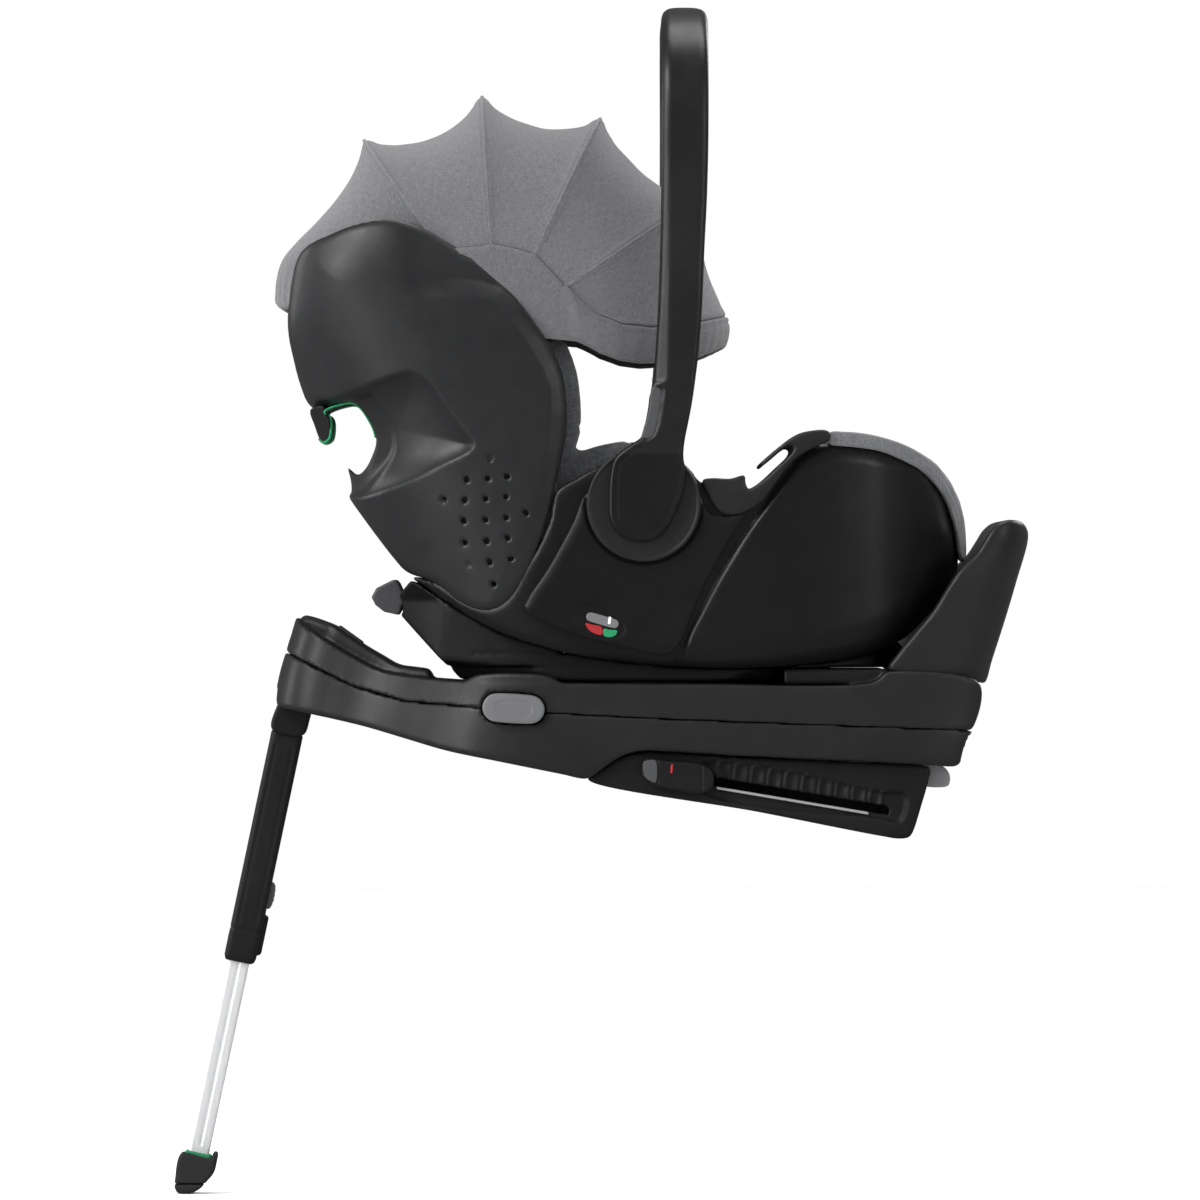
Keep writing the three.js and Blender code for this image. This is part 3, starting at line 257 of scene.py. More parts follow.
def new_mesh(name, co, quads, smooth_shade=True):
    """co in millimetres."""
    me = bpy.data.meshes.new(name)
    co = np.asarray(co, np.float32) / 1000.0
    quads = np.asarray(quads, np.int32)
    me.vertices.add(len(co))
    me.vertices.foreach_set("co", co.ravel())
    k = quads.shape[1]
    me.loops.add(quads.size)
    me.loops.foreach_set("vertex_index", quads.ravel())
    me.polygons.add(len(quads))
    me.polygons.foreach_set("loop_start", np.arange(0, quads.size, k, dtype=np.int32))
    me.update(calc_edges=True)
    me.validate()
    me.polygons.foreach_set("use_smooth", np.full(len(me.polygons), smooth_shade))
    me.update()
    return me


def relax(co, quads, rounds=3, a=0.5, b=-0.52):
    """Taubin smoothing, which takes the voxel grain off without shrinking."""
    e = np.vstack([quads[:, [0, 1]], quads[:, [1, 2]], quads[:, [2, 3]], quads[:, [3, 0]]])
    e = np.unique(np.sort(e, 1), axis=0)
    i = np.concatenate([e[:, 0], e[:, 1]])
    j = np.concatenate([e[:, 1], e[:, 0]])
    deg = np.maximum(np.bincount(i, minlength=len(co)), 1)[:, None]
    for _ in range(rounds):
        for w in (a, b):
            m = np.stack([np.bincount(i, weights=co[j, k], minlength=len(co)) for k in range(3)], 1) / deg
            co = co + w * (m - co)
    return co


def biggest(co, quads):
    """Drops crumbs: keeps connected parts with over 2% of the vertices."""
    parent = np.arange(len(co))
    e = np.vstack([quads[:, [0, 1]], quads[:, [1, 2]], quads[:, [2, 3]]])
    while True:
        m = np.minimum(parent[e[:, 0]], parent[e[:, 1]])
        new = parent.copy()
        np.minimum.at(new, e[:, 0], m)
        np.minimum.at(new, e[:, 1], m)
        new = new[new]
        if np.array_equal(new, parent):
            break
        parent = new
    label, count = np.unique(parent, return_counts=True)
    if len(label) == 1:
        return co, quads
    ok = np.isin(parent, label[count > 0.02 * len(co)])
    idx = np.cumsum(ok) - 1
    return co[ok], idx[quads[ok[quads[:, 0]]]]


def surface(vol, f, rounds=3, crumbs=True):
    f = vol.full(f)
    lim = 3 * vol.h
    f = np.clip(f, -lim, lim)
    for ax in range(3):  # closed at the edges of the grid
        sl = [slice(None)] * 3
        for end in (0, -1):
            sl[ax] = end
            f[tuple(sl)] = np.maximum(f[tuple(sl)], 0.4 * vol.h)
    g = openvdb.FloatGrid(lim)
    g.copyFromArray(f)
    p, q = g.convertToQuads(isovalue=0.0)
    p = np.asarray(p, np.float64) * vol.h + vol.o
    q = np.asarray(q, np.int64)
    if crumbs:
        p, q = biggest(p, q)
    if rounds:
        p = relax(p, q, rounds)
    return p, q


def link(name, me):
    ob = bpy.data.objects.new(name, me)
    bpy.context.scene.collection.objects.link(ob)
    return ob


def finish_piece(ob, body, material, nodes=(), more=()):
    for m in [material, *more]:
        ob.data.materials.append(m)
    if body:
        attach(ob, body)
    if nodes:
        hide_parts(*([nodes] if isinstance(nodes, str) else nodes))
    return ob


def moulded(name, vol, f, body, material, nodes=(), rounds=3, mirror=False):
    """One solid from its field; the mirror argument is not used."""
    p, q = surface(vol, f, rounds)
    made = finish_piece(link(name, new_mesh(name, p, q)), body, material, nodes)
    return made


def two(name, vol, f, bodies, material, node, rounds=3):
    """A left piece (-Y) and its mirror image."""
    p, q = surface(vol, f, rounds)
    out = []
    for side, b in zip(("left", "right"), bodies):
        pp, qq = (p, q) if side == "left" else (p * [1, -1, 1], q[:, ::-1])
        n = f"{name}_{side}"
        out.append(finish_piece(link(n, new_mesh(n, pp, qq)), b, material, (f"{node}_{side}",) if node else ()))
    return out


def tube(pts, radius, n=10, closed=False, squash_y=None, flat=None):
    """A tube along points in mm. flat=(a, b) gives an elliptical or flat section, a across and b thick, with `squash_y` as its width direction."""
    p = np.asarray(pts, float)
    t = np.gradient(p, axis=0)
    if closed:
        t = np.roll(p, -1, 0) - np.roll(p, 1, 0)
    t /= np.linalg.norm(t, axis=1)[:, None]
    ref = np.array(squash_y if squash_y is not None else (0, 1, 0), float)
    if squash_y is None and abs(t[0] @ ref) > 0.9:
        ref = np.array((1.0, 0, 0))
    frames = []
    w = ref - t[0] * (ref @ t[0])
    for k in range(len(p)):
        base = ref if squash_y is not None else w
        w = base - t[k] * (base @ t[k])
        w /= max(np.linalg.norm(w), 1e-9)
        frames.append((w, np.cross(t[k], w)))
    a, b = flat if flat else (radius, radius)
    rings = []
    for k in range(len(p)):
        w, h = frames[k]
        rr = radius[k] if np.ndim(radius) else radius
        sa, sb = (a, b) if flat else (rr, rr)
        for i in range(n):
            g = 2 * math.pi * i / n
            c, s = math.cos(g), math.sin(g)
            e = 0.35 if flat else 1.0
            c = math.copysign(abs(c) ** e, c)
            s = math.copysign(abs(s) ** (0.6 if flat else 1.0), s)
            rings.append(p[k] + w * c * sa + h * s * sb)
    quads = []
    m = len(p)
    for k in range(m if closed else m - 1):
        for i in range(n):
            a0, a1 = k * n + i, k * n + (i + 1) % n
            b0, b1 = ((k + 1) % m) * n + i, ((k + 1) % m) * n + (i + 1) % n
            quads.append((a0, a1, b1, b0))
    co = np.array(rings)
    if not closed:  # end caps as fans of quads
        for end in (0, m - 1):
            c = co[end * n : end * n + n].mean(0)
            co = np.vstack([co, c])
            ci = len(co) - 1
            for i in range(0, n, 2):
                q = (end * n + i, end * n + (i + 1) % n, end * n + (i + 2) % n, ci)
                quads.append(q[::-1] if end == 0 else q)
    return co, np.array(quads)


def outward(me):
    """Turns the faces of a closed mesh outwards."""
    import bmesh
    bm = bmesh.new()
    bm.from_mesh(me)
    bmesh.ops.recalc_face_normals(bm, faces=bm.faces)
    bm.to_mesh(me)
    bm.free()
    me.update()


def lathe_y(name, uv, prof, body, material, nodes=(), n=96, flip=False):
    """Turned about an axis along Y at a drawing point: profile of (radius, y)."""
    cx, cz = float(X(uv[0])), float(Z(uv[1]))
    co, quads = [], []
    m = len(prof)
    for i in range(n):
        a = 2 * math.pi * i / n
        for r, y in prof:
            co.append((cx + r * math.cos(a), y, cz + r * math.sin(a)))
    for i in range(n):
        for k in range(m - 1):
            quads.append((i * m + k, ((i + 1) % n) * m + k, ((i + 1) % n) * m + k + 1, i * m + k + 1))
    me = new_mesh(name, np.array(co), np.array(quads))
    import bmesh
    bm = bmesh.new()
    bm.from_mesh(me)
    bmesh.ops.remove_doubles(bm, verts=bm.verts, dist=1e-6)
    bmesh.ops.recalc_face_normals(bm, faces=bm.faces)
    for f in bm.faces:
        f.smooth = True
    bm.to_mesh(me)
    bm.free()
    return finish_piece(link(name, me), body, material, nodes)


# ---- materials ---------------------------------------------------------------------------------------------------------
def tree(name):
    m = bpy.data.materials.new(name)
    m.use_nodes = True
    nt = m.node_tree
    nt.nodes.clear()
    out = nt.nodes.new("ShaderNodeOutputMaterial")
    b = nt.nodes.new("ShaderNodeBsdfPrincipled")
    nt.links.new(b.outputs[0], out.inputs[0])
    return m, nt, b


def node(nt, kind, **values):
    n = nt.nodes.new(kind)
    for k, v in values.items():
        if k in n.inputs:
            n.inputs[k].default_value = v
        else:
            setattr(n, k, v)
    return n


def noise(nt, vec, scale, detail=2.0, rough=0.5):
    n = nt.nodes.new("ShaderNodeTexNoise")
    n.inputs["Scale"].default_value = scale
    n.inputs["Detail"].default_value = detail
    n.inputs["Roughness"].default_value = rough
    nt.links.new(vec, n.inputs["Vector"])
    return n.outputs["Fac"]


def ramp(nt, fac, stops):
    r = nt.nodes.new("ShaderNodeValToRGB")
    e = r.color_ramp.elements
    while len(e) < len(stops):
        e.new(0.5)
    for k, (pos, c) in enumerate(stops):
        e[k].position = pos
        e[k].color = (*c, 1) if np.ndim(c) else (c, c, c, 1)
    nt.links.new(fac, r.inputs[0])
    return r.outputs[0]


def math_node(nt, op, a, b=None, clamp=False):
    n = nt.nodes.new("ShaderNodeMath")
    n.operation = op
    n.use_clamp = clamp
    for k, v in enumerate((a, b)):
        if v is None:
            continue
        if isinstance(v, (int, float)):
            n.inputs[k].default_value = v
        else:
            nt.links.new(v, n.inputs[k])
    return n.outputs[0]


def mix(nt, fac, a, b, kind="MIX"):
    n = nt.nodes.new("ShaderNodeMix")
    n.data_type = "RGBA"
    n.blend_type = kind
    for sock, v in ((n.inputs[0], fac), (n.inputs[6], a), (n.inputs[7], b)):
        if isinstance(v, (int, float)):
            sock.default_value = v
        elif isinstance(v, tuple):
            sock.default_value = (*v, 1)
        else:
            nt.links.new(v, sock)
    return n.outputs[2]


def plastic(name, colour, rough=0.42, grain=1.0, coat=0.0, wear=0.35, spec=0.5):
    """Moulded plastic: a fine spark-eroded grain, uneven gloss, faint handling scuffs and lighter rubbed edges."""
    m, nt, b = tree(name)
    co = nt.nodes.new("ShaderNodeTexCoord").outputs["Object"]
    fine = noise(nt, co, 1900, 3, 0.6)
    cloud = noise(nt, co, 7, 4, 0.6)
    smear = noise(nt, co, 38, 5, 0.65)
    stretch = nt.nodes.new("ShaderNodeMapping")
    stretch.inputs["Scale"].default_value = (30, 160, 420)
    stretch.inputs["Rotation"].default_value = (0.2, 0.5, 0.1)
    nt.links.new(co, stretch.inputs["Vector"])
    scratch = noise(nt, stretch.outputs[0], 1.6, 3, 0.7)
    dark = tuple(c * 0.86 for c in colour)
    light = tuple(min(c * 1.16 + 0.0015, 1) for c in colour)
    base = ramp(nt, cloud, [(0.3, dark), (0.7, light)])
    geo = nt.nodes.new("ShaderNodeNewGeometry")
    edge = ramp(nt, geo.outputs["Pointiness"], [(0.515, 0.0), (0.60, 1.0)])
    rub = math_node(nt, "MULTIPLY", math_node(nt, "MULTIPLY", edge, ramp(nt, smear, [(0.4, 0.0), (0.62, 1.0)])), wear)
    base = mix(nt, rub, base, tuple(min(c * 2.2 + 0.012, 1) for c in colour))
    nt.links.new(base, b.inputs["Base Color"])
    r = nt.nodes.new("ShaderNodeMapRange")
    r.inputs["From Min"].default_value = 0.3
    r.inputs["From Max"].default_value = 0.7
    r.inputs["To Min"].default_value = rough - 0.05
    r.inputs["To Max"].default_value = rough + 0.07
    nt.links.new(smear, r.inputs["Value"])
    sc = ramp(nt, scratch, [(0.64, 0.0), (0.70, 1.0)])
    nt.links.new(math_node(nt, "ADD", r.outputs[0], math_node(nt, "MULTIPLY", sc, 0.09)), b.inputs["Roughness"])
    bump = nt.nodes.new("ShaderNodeBump")
    bump.inputs["Strength"].default_value = 0.16 * grain
    bump.inputs["Distance"].default_value = 0.0003
    nt.links.new(fine, bump.inputs["Height"])
    nt.links.new(bump.outputs[0], b.inputs["Normal"])
    b.inputs["Specular IOR Level"].default_value = spec
    b.inputs["Coat Weight"].default_value = coat
    b.inputs["Coat Roughness"].default_value = 0.25
    return m


def fabric(name, a, c, pitch=1.3, uv=False, bump=0.5, sheen=0.25, melange=0.5, twill=False):
    """Woven cloth: two yarn directions, a melange of light and dark fibres along them, and soft nap."""
    m, nt, b = tree(name)
    tc = nt.nodes.new("ShaderNodeTexCoord")
    vec = tc.outputs["UV"] if uv else tc.outputs["Object"]
    k = 0.3142 / (pitch / 1000.0)
    waves = []
    for axis in (("X", "Y") if uv else ("X", "Z")):
        w = nt.nodes.new("ShaderNodeTexWave")
        w.wave_type = "BANDS"
        w.bands_direction = "DIAGONAL" if twill and axis == "X" else axis
        w.inputs["Scale"].default_value = k * (0.6 if twill and axis == "X" else 1.0)
        w.inputs["Distortion"].default_value = 0.6
        w.inputs["Detail"].default_value = 1.0
        w.inputs["Detail Scale"].default_value = 2.0
        nt.links.new(vec, w.inputs["Vector"])
        waves.append(w.outputs["Fac"])
    if not uv:  # a third direction keeps the weave going round the sides
        w = nt.nodes.new("ShaderNodeTexWave")
        w.bands_direction = "Y"
        w.inputs["Scale"].default_value = k
        w.inputs["Distortion"].default_value = 0.6
        nt.links.new(vec, w.inputs["Vector"])
        waves.append(w.outputs["Fac"])
    weave = math_node(nt, "MULTIPLY", waves[0], waves[1])
    if len(waves) == 3:
        weave = math_node(nt, "MAXIMUM", weave, math_node(nt, "MULTIPLY", waves[2], math_node(nt, "MAXIMUM", waves[0], waves[1])))
    mp = [nt.nodes.new("ShaderNodeMapping") for _ in range(2)]
    mp[0].inputs["Scale"].default_value = (1, 7, 7)
    mp[1].inputs["Scale"].default_value = (7, 7 if not uv else 1, 1)
    for q in mp:
        nt.links.new(vec, q.inputs["Vector"])
    f1 = noise(nt, mp[0].outputs[0], 110, 3, 0.7)
    f2 = noise(nt, mp[1].outputs[0], 110, 3, 0.7)
    fib = math_node(nt, "MULTIPLY", math_node(nt, "ADD", f1, f2), 0.5)
    base = mix(nt, ramp(nt, fib, [(0.38, 0.0), (0.62, 1.0)]), tuple(v * (1 - 0.30 * melange) for v in a), tuple(min(v * (1 + 0.30 * melange), 1) for v in c))
    cloud = noise(nt, tc.outputs["Object"], 9, 3, 0.5)
    base = mix(nt, math_node(nt, "MULTIPLY", cloud, 0.22), base, tuple(v * 0.72 for v in a))
    base = mix(nt, math_node(nt, "MULTIPLY", math_node(nt, "SUBTRACT", 1.0, weave), 0.34), base, tuple(v * 0.45 for v in a))
    nt.links.new(base, b.inputs["Base Color"])
    rr = nt.nodes.new("ShaderNodeMapRange")
    rr.inputs["To Min"].default_value = 0.82
    rr.inputs["To Max"].default_value = 0.97
    nt.links.new(fib, rr.inputs["Value"])
    nt.links.new(rr.outputs[0], b.inputs["Roughness"])
    bp = nt.nodes.new("ShaderNodeBump")
    bp.inputs["Strength"].default_value = bump
    bp.inputs["Distance"].default_value = 0.0006
    nt.links.new(math_node(nt, "ADD", weave, math_node(nt, "MULTIPLY", fib, 0.5)), bp.inputs["Height"])
    nt.links.new(bp.outputs[0], b.inputs["Normal"])
    b.inputs["Sheen Weight"].default_value = sheen
    b.inputs["Sheen Roughness"].default_value = 0.5
    b.inputs["Specular IOR Level"].default_value = 0.25
    return m


def metal(name, colour, rough, metallic=1.0):
    """Drawn metal: fine lines along the length, with smudges."""
    m, nt, b = tree(name)
    tc = nt.nodes.new("ShaderNodeTexCoord").outputs["Object"]
    mp = nt.nodes.new("ShaderNodeMapping")
    mp.inputs["Rotation"].default_value = (0, -LEG_TILT, 0)
    mp.inputs["Scale"].default_value = (900, 900, 9)
    nt.links.new(tc, mp.inputs["Vector"])
    lines = noise(nt, mp.outputs[0], 1.0, 4, 0.6)
    smudge = noise(nt, tc, 30, 4, 0.6)
    nt.links.new(ramp(nt, lines, [(0.3, tuple(c * 0.82 for c in colour)), (0.7, colour)]), b.inputs["Base Color"])
    r = nt.nodes.new("ShaderNodeMapRange")
    r.inputs["To Min"].default_value = rough - 0.06
    r.inputs["To Max"].default_value = rough + 0.14
    nt.links.new(smudge, r.inputs["Value"])
    nt.links.new(r.outputs[0], b.inputs["Roughness"])
    bp = nt.nodes.new("ShaderNodeBump")
    bp.inputs["Strength"].default_value = 0.12
    bp.inputs["Distance"].default_value = 0.0002
    nt.links.new(lines, bp.inputs["Height"])
    nt.links.new(bp.outputs[0], b.inputs["Normal"])
    b.inputs["Metallic"].default_value = metallic
    return m


M = {
    "shell": plastic("shell satin grey", (0.0105, 0.0107, 0.0118), 0.38, 1.2, 0.0, 0.3, 0.5),
    "black": plastic("shell gloss black", (0.0042, 0.0042, 0.0046), 0.33, 0.7, 0.0, 0.3, 0.36),
    "dark": plastic("dark matt plastic", (0.005, 0.005, 0.0054), 0.52, 1.4, 0.0, 0.3, 0.3),
    "base": plastic("base plastic", (0.0100, 0.0101, 0.0108), 0.40, 1.2, 0.0, 0.4, 0.4),
    "handle": plastic("handle plastic", (0.0072, 0.0072, 0.0078), 0.36, 0.9, 0.0, 0.3, 0.42),
    "grey": plastic("trim grey plastic", (0.115, 0.116, 0.122), 0.45, 1.2, 0.0, 0.3),
    "midgrey": plastic("slider grey plastic", (0.045, 0.046, 0.05), 0.45, 1.2, 0.0, 0.3),
    "white": plastic("marking white", (0.72, 0.72, 0.72), 0.5, 0.6, 0.0, 0.0),
    "red": plastic("signal red", (0.27, 0.007, 0.010), 0.38, 0.6, 0.0, 0.2),
    "green": plastic("signal green", (0.004, 0.20, 0.075), 0.42, 0.8, 0.0, 0.2),
    "rubber": plastic("foot rubber", (0.011, 0.011, 0.012), 0.72, 2.0, 0.0, 0.5, 0.3),
    "canopy": fabric("canopy weave", (0.104, 0.104, 0.111), (0.146, 0.146, 0.155), 1.5, True, 0.5, 0.20, 0.7),
    "strip": fabric("canopy elastic strip", (0.098, 0.098, 0.104), (0.128, 0.128, 0.135), 1.0, True, 0.4, 0.2, 0.45, True),
    "foot_trim": fabric("foot trim weave", (0.105, 0.106, 0.112), (0.145, 0.146, 0.154), 1.5, False, 0.4, 0.2, 0.6),
    "cover": fabric("seat cover weave", (0.062, 0.063, 0.068), (0.105, 0.107, 0.113), 1.4, False, 0.5, 0.25, 0.7),
    "liner": fabric("liner weave", (0.105, 0.107, 0.113), (0.15, 0.152, 0.158), 1.4, False, 0.5, 0.25, 0.6),
    "cover_dark": fabric("inner cover knit", (0.018, 0.018, 0.02), (0.032, 0.032, 0.035), 1.1, False, 0.4, 0.2, 0.6),
    "web": fabric("harness webbing", (0.016, 0.016, 0.018), (0.03, 0.03, 0.033), 1.6, False, 0.8, 0.15, 0.4, True),
    "alu": metal("drawn aluminium", (0.74, 0.745, 0.755), 0.36, 0.45),
    "steel": metal("plated steel", (0.52, 0.52, 0.54), 0.28, 0.6),
}

# ---- head shell ----------------------------------------------------------------------------------------------------------
HEAD_TRUE = [
    (296, 262), (302, 251), (312, 243), (330, 235), (350, 227), (370, 222), (390, 220), (405, 222), (420, 227), (440, 238), (460, 250),
    (480, 262), (500, 281), (520, 303), (536, 325), (550, 346), (562, 372), (567, 400), (567, 430), (562, 460), (555, 490), (547, 520),
    (537, 550), (526, 576), (513, 597), (500, 607), (487, 610.5), (472, 608), (457, 600), (444, 589), (430, 580.5), (412, 574.5), (404, 570),
    (394, 559), (379, 540), (364, 520), (349, 499), (338, 480), (330, 461), (318, 437), (309, 411), (303, 396), (297, 378), (292, 357), (288, 337),
    (287, 318), (290, 290),
]
RAISED = [(100, 700), (100, 299), (300, 299), (422, 299), (446, 297), (478, 299), (494, 305), (510, 319), (526, 342), (542, 369), (550, 388), (551, 414), (547, 450), (538, 490), (522, 535), (500, 580), (478, 640)]
RECESS = [(250, 404), (322, 400), (360, 388), (400, 374), (412, 372), (421, 376), (431, 384), (446, 405), (460, 424), (471, 438), (475, 445), (469, 453), (458, 459), (440, 467), (420, 477), (400, 486), (380, 493), (365, 497), (348, 499), (250, 470)]
INNER = [(250, 404), (352, 396), (375, 392), (386, 405), (395, 424), (398, 440), (396, 455), (385, 472), (372, 487), (362, 496), (250, 480)]
VENTS = [(467, 480), (488, 479), (507, 477), (490, 459), (422, 498), (444, 500), (465, 500), (486, 499), (506, 497), (421, 520), (443, 521), (464, 521),
         (486, 520), (506, 518), (526, 513), (444, 543), (465, 543), (487, 541), (508, 538), (468, 565), (490, 562), (511, 559), (494, 584)]


def head_relief(v):
    sd = v.side(HEAD_TRUE)
    d = -sd
    up = smooth((340 - v.v) / 95)
    out = 2.2 * roll(d, 8) + up * 13 * roll(d, 52)
    r = v.side(RAISED, False)
    fade = smooth((v.u - 398) / 60) * (1 - 0.75 * smooth((v.v - 440) / 110))
    out = out + np.clip(0.42 * r, 0, 7.5) * fade
    rec = -v.side(RECESS, True, 4)
    dep = 15.5 * (1 - np.exp(-np.clip(rec, 0, None) / 13.0))
    out = out + np.where(rec > 0, dep, 0)
    inn = -v.side(INNER, True, 4)
    out = out + 5 * smooth(inn / 7)
    return sd, out


v = Vol(262, 585, 212, 620, -197, 197, 2.0)
sd, relief = head_relief(v)
outer = v.plan(HEAD_PLAN, -0.45, 335)
wall = both(sd, outer + relief, 1.6)
hollow = both(v.side(HEAD_IN), outer + relief + 4.2, 2.0)
f = cut(wall, hollow, 1.0)
f = cut(f, v.side(CHANNEL) , 2.2)
for (a, b) in VENTS:
    hole = np.hypot(v.x - X(a), v.z - Z(b)) - 2.7
    f = np.maximum(f, -np.maximum(hole, 170.0 - v.ay))
moulded("head_shell_moulding", v, f, "carrier", M["shell"], "head_shell", 2)
del outer, hollow, wall

# green lining of the belt guide's mouth with its black hook, both sides
v = Vol(304, 384, 396, 480, -128, -40, 1.0)
ch = v.side(CHANNEL, True, 3)
hook = v.side([(309, 409), (324, 405.5), (325.5, 412.5), (329.3, 418.5), (329.3, 433), (327.5, 438.3), (322, 441.3), (318.5, 439), (313, 425)], True, 2)
edge = v.plan(HEAD_PLAN, -0.45, 335)
f = both(both(ch, v.side([(320, 413), (326, 403), (350, 397), (360, 401), (372, 418), (378, 436), (366, 436), (360, 420), (350, 408), (332, 414)]), 0.6), v.slab(-118, -60), 1.2)
f = both(f, -(ch + 1.7), 0.4)
strip = both(both(hook - 1.5, 327.0 - v.u + 0 * v.v, 0.3), v.slab(-104, -52), 0.5)
strip = both(both(hook - 1.5, np.minimum(-(v.u - 326.8) * G, -(v.v - 437.0) * G), 0.3), both(v.slab(-106, -50), edge + 1.2, 0.5), 0.5)
f = np.minimum(f, strip)
p, q = surface(v, f, 2)
g = both(both(hook, v.slab(-108, -48), 2.0), edge + 0.6, 2.0)
p2, q2 = surface(v, g, 2)
for sgn, side in ((1, "left"), (-1, "right")):
    n = f"belt_guide_lining_{side}"
    finish_piece(link(n, new_mesh(n, p * [1, sgn, 1], q if sgn > 0 else q[:, ::-1])), "carrier", M["green"], (f"belt_guide_{side}",))
    n = f"belt_guide_hook_{side}"
    finish_piece(link(n, new_mesh(n, p2 * [1, sgn, 1], q2 if sgn > 0 else q2[:, ::-1])), "carrier", M["dark"], ())

# ---- seat shell: tub and the two foot-end panels --------------------------------------------------------------------------
FOOT_REGION = [(676, 700), (684, 642), (700, 608), (720, 570), (740, 537), (760, 508), (780, 478), (798, 455), (812, 446), (830, 436), (1010, 420), (1010, 720)]
BULGE = [(686, 655), (702, 612), (724, 572), (744, 540), (764, 512), (786, 489), (802, 476), (816, 466), (834, 461), (862, 462), (890, 467), (914, 474), (930, 491), (938, 512), (944, 545), (936, 580), (915, 610), (884, 636), (840, 646), (760, 655)]
SEAT_TRUE = [
    (412, 577), (436, 582), (449, 589), (463, 599), (477, 604), (490, 605), (501, 601), (510, 592), (522, 571), (537, 548), (549, 521), (556, 492),
    (575, 479), (600, 466), (640, 458), (679, 461), (690, 470), (700, 482), (712, 486), (742, 486), (750, 493.5), (764, 489.5), (780, 469.5), (798, 451.5), (815, 444),
    (842, 446), (880, 451), (916, 465), (937, 483), (949, 504), (957, 530), (962, 550), (962, 571), (952, 590), (934, 611), (902, 640), (870, 653.5), (820, 662.5),
    (760, 667.5), (700, 667.5), (620, 661.5), (560, 651.5), (500, 632.5), (460, 611.5), (430, 591.5),
]


def carrier_plan(v):
    return both(v.plan(HEAD_PLAN, -0.45, 335), v.plan(FOOT_PLAN, 0, 500), 3)


v = Vol(405, 975, 436, 676, -198, 198, 2.2)
sd = v.side(SEAT_TRUE)
outer = carrier_plan(v)
foot = -v.side(FOOT_REGION, True)
bul = v.side(BULGE)
relief = 2.5 * roll(-sd, 9) + np.clip(0.30 * bul, 0, 6) * smooth(foot / 3) + 14 * roll(-sd, 34) * smooth((v.v - 560) / 70) * smooth((v.u - 560) / 60)
relief = relief + np.where(foot > 0, 4.6 * roll(np.maximum(foot, 0), 11), 3.0 + 1.6 * np.exp(-((foot / 4.0) ** 2)))
groove = np.exp(-((foot / 3.2) ** 2)) * 1.2
f = both(sd, outer + relief + groove, 1.8)
f = cut(f, both(v.side(SEAT_IN), outer + relief + 4.2, 2.0), 1.0)
moulded("seat_shell_moulding", v, f, "carrier", M["black"], "seat_shell", 3)
del outer

# mid panels round the handle hubs
PANEL = [(574, 520), (582, 500), (600, 481), (630, 468), (660, 463), (684, 466), (698, 486), (707, 511), (722, 517), (744, 515), (735, 530), (720, 556), (706, 582), (694, 608), (684, 634), (677, 647),
         (668, 653.5), (655, 654), (630, 648.5), (600, 641), (570, 632), (545, 622), (530, 614.5), (525, 607), (530, 595), (545, 573), (560, 547)]
v = Vol(515, 755, 455, 662, -198, -186, 1.2)
sd = v.side(PANEL)
hub_d = np.hypot(v.x - X(HUB[0]), v.z - Z(HUB[1]))
relief = 3.0 * roll(-sd, 12) + 1.8 * (1 - smooth((hub_d - 55.8) / 3.0))
ind = v.side([(578, 604), (592, 602), (626, 624), (624, 636), (606, 640), (580, 634), (574, 618)])
relief = relief + 1.0 * smooth(-ind / 3)
f = both(sd, v.slab(-195.4, -188.6) + 0 * v.x, 0.4)
f = np.maximum(both(sd, -(v.y + 195.4) + relief, 1.4), v.y + 188.8)
two("side_panel_moulding", v, f, ("carrier", "carrier"), M["black"], "side_panel", 2)


def pill(a, b, r):
    t = math.atan2(b[1] - a[1], b[0] - a[0])
    out = []
    for c, s in ((a, math.pi / 2), (b, -math.pi / 2)):
        for i in range(9):
            g = t + s + math.pi * i / 8
            out.append((c[0] + r * math.cos(g), c[1] + r * math.sin(g)))
    return out


v = Vol(570, 632, 596, 646, -197, -190, 0.7)
for name, out_line, y0, m, nd in (
    ("indicator_window", pill((590.6, 616.8), (614.2, 623.6), 4.5), -195.8, M["grey"], "lock_indicator"),
    ("indicator_red", [(585.5, 623), (593, 624.6), (601.6, 626.8), (602, 634.5), (595, 633.6), (588, 628.8)], -195.3, M["red"], None),
    ("indicator_green", [(604, 628.6), (610, 629.6), (617, 630.4), (616, 634.6), (611, 637), (604, 635.6)], -195.3, M["green"], None),
    ("indicator_tick", [(608.6, 616.4), (611.6, 617), (610.4, 624.4), (607.6, 623.8)], -196.3, M["white"], None),
):
    f = both(v.side(out_line, "tick" not in name, 2), v.slab(y0, -191.5), 0.5)
    two(name, v, f, ("carrier", "carrier"), m, nd, 1)

# front belt hooks
HOOK = [(703, 480), (712, 478.5), (730, 479), (744, 476), (745, 483), (748, 489), (753, 487), (764, 479), (778, 466), (791, 453), (792.5, 448), (789, 445.8), (782, 450), (769, 461), (761, 466.6), (760, 464.5),
        (768, 456), (780, 446), (790, 438.5), (800, 433.5), (812, 431), (824, 430.5), (829, 433), (829, 440), (818, 446), (807, 451.5), (793, 461), (777, 481), (762, 501), (748, 511), (735, 515.5), (722, 513.5), (713, 505), (707, 494), (702, 483)]
v = Vol(698, 833, 426, 520, -195, -168, 1.1)
sd = v.side(HOOK, True, 3)
lip = 1.6 * roll(-sd, 6) + 2.2 * smooth((494 - v.v) / 16) * smooth((752 - v.u) / 8) * 0.6
f = both(sd, v.slab(-193.6, -172) + lip, 1.4)
two("belt_hook_moulding", v, f, ("carrier", "carrier"), M["base"], "belt_hook", 2)

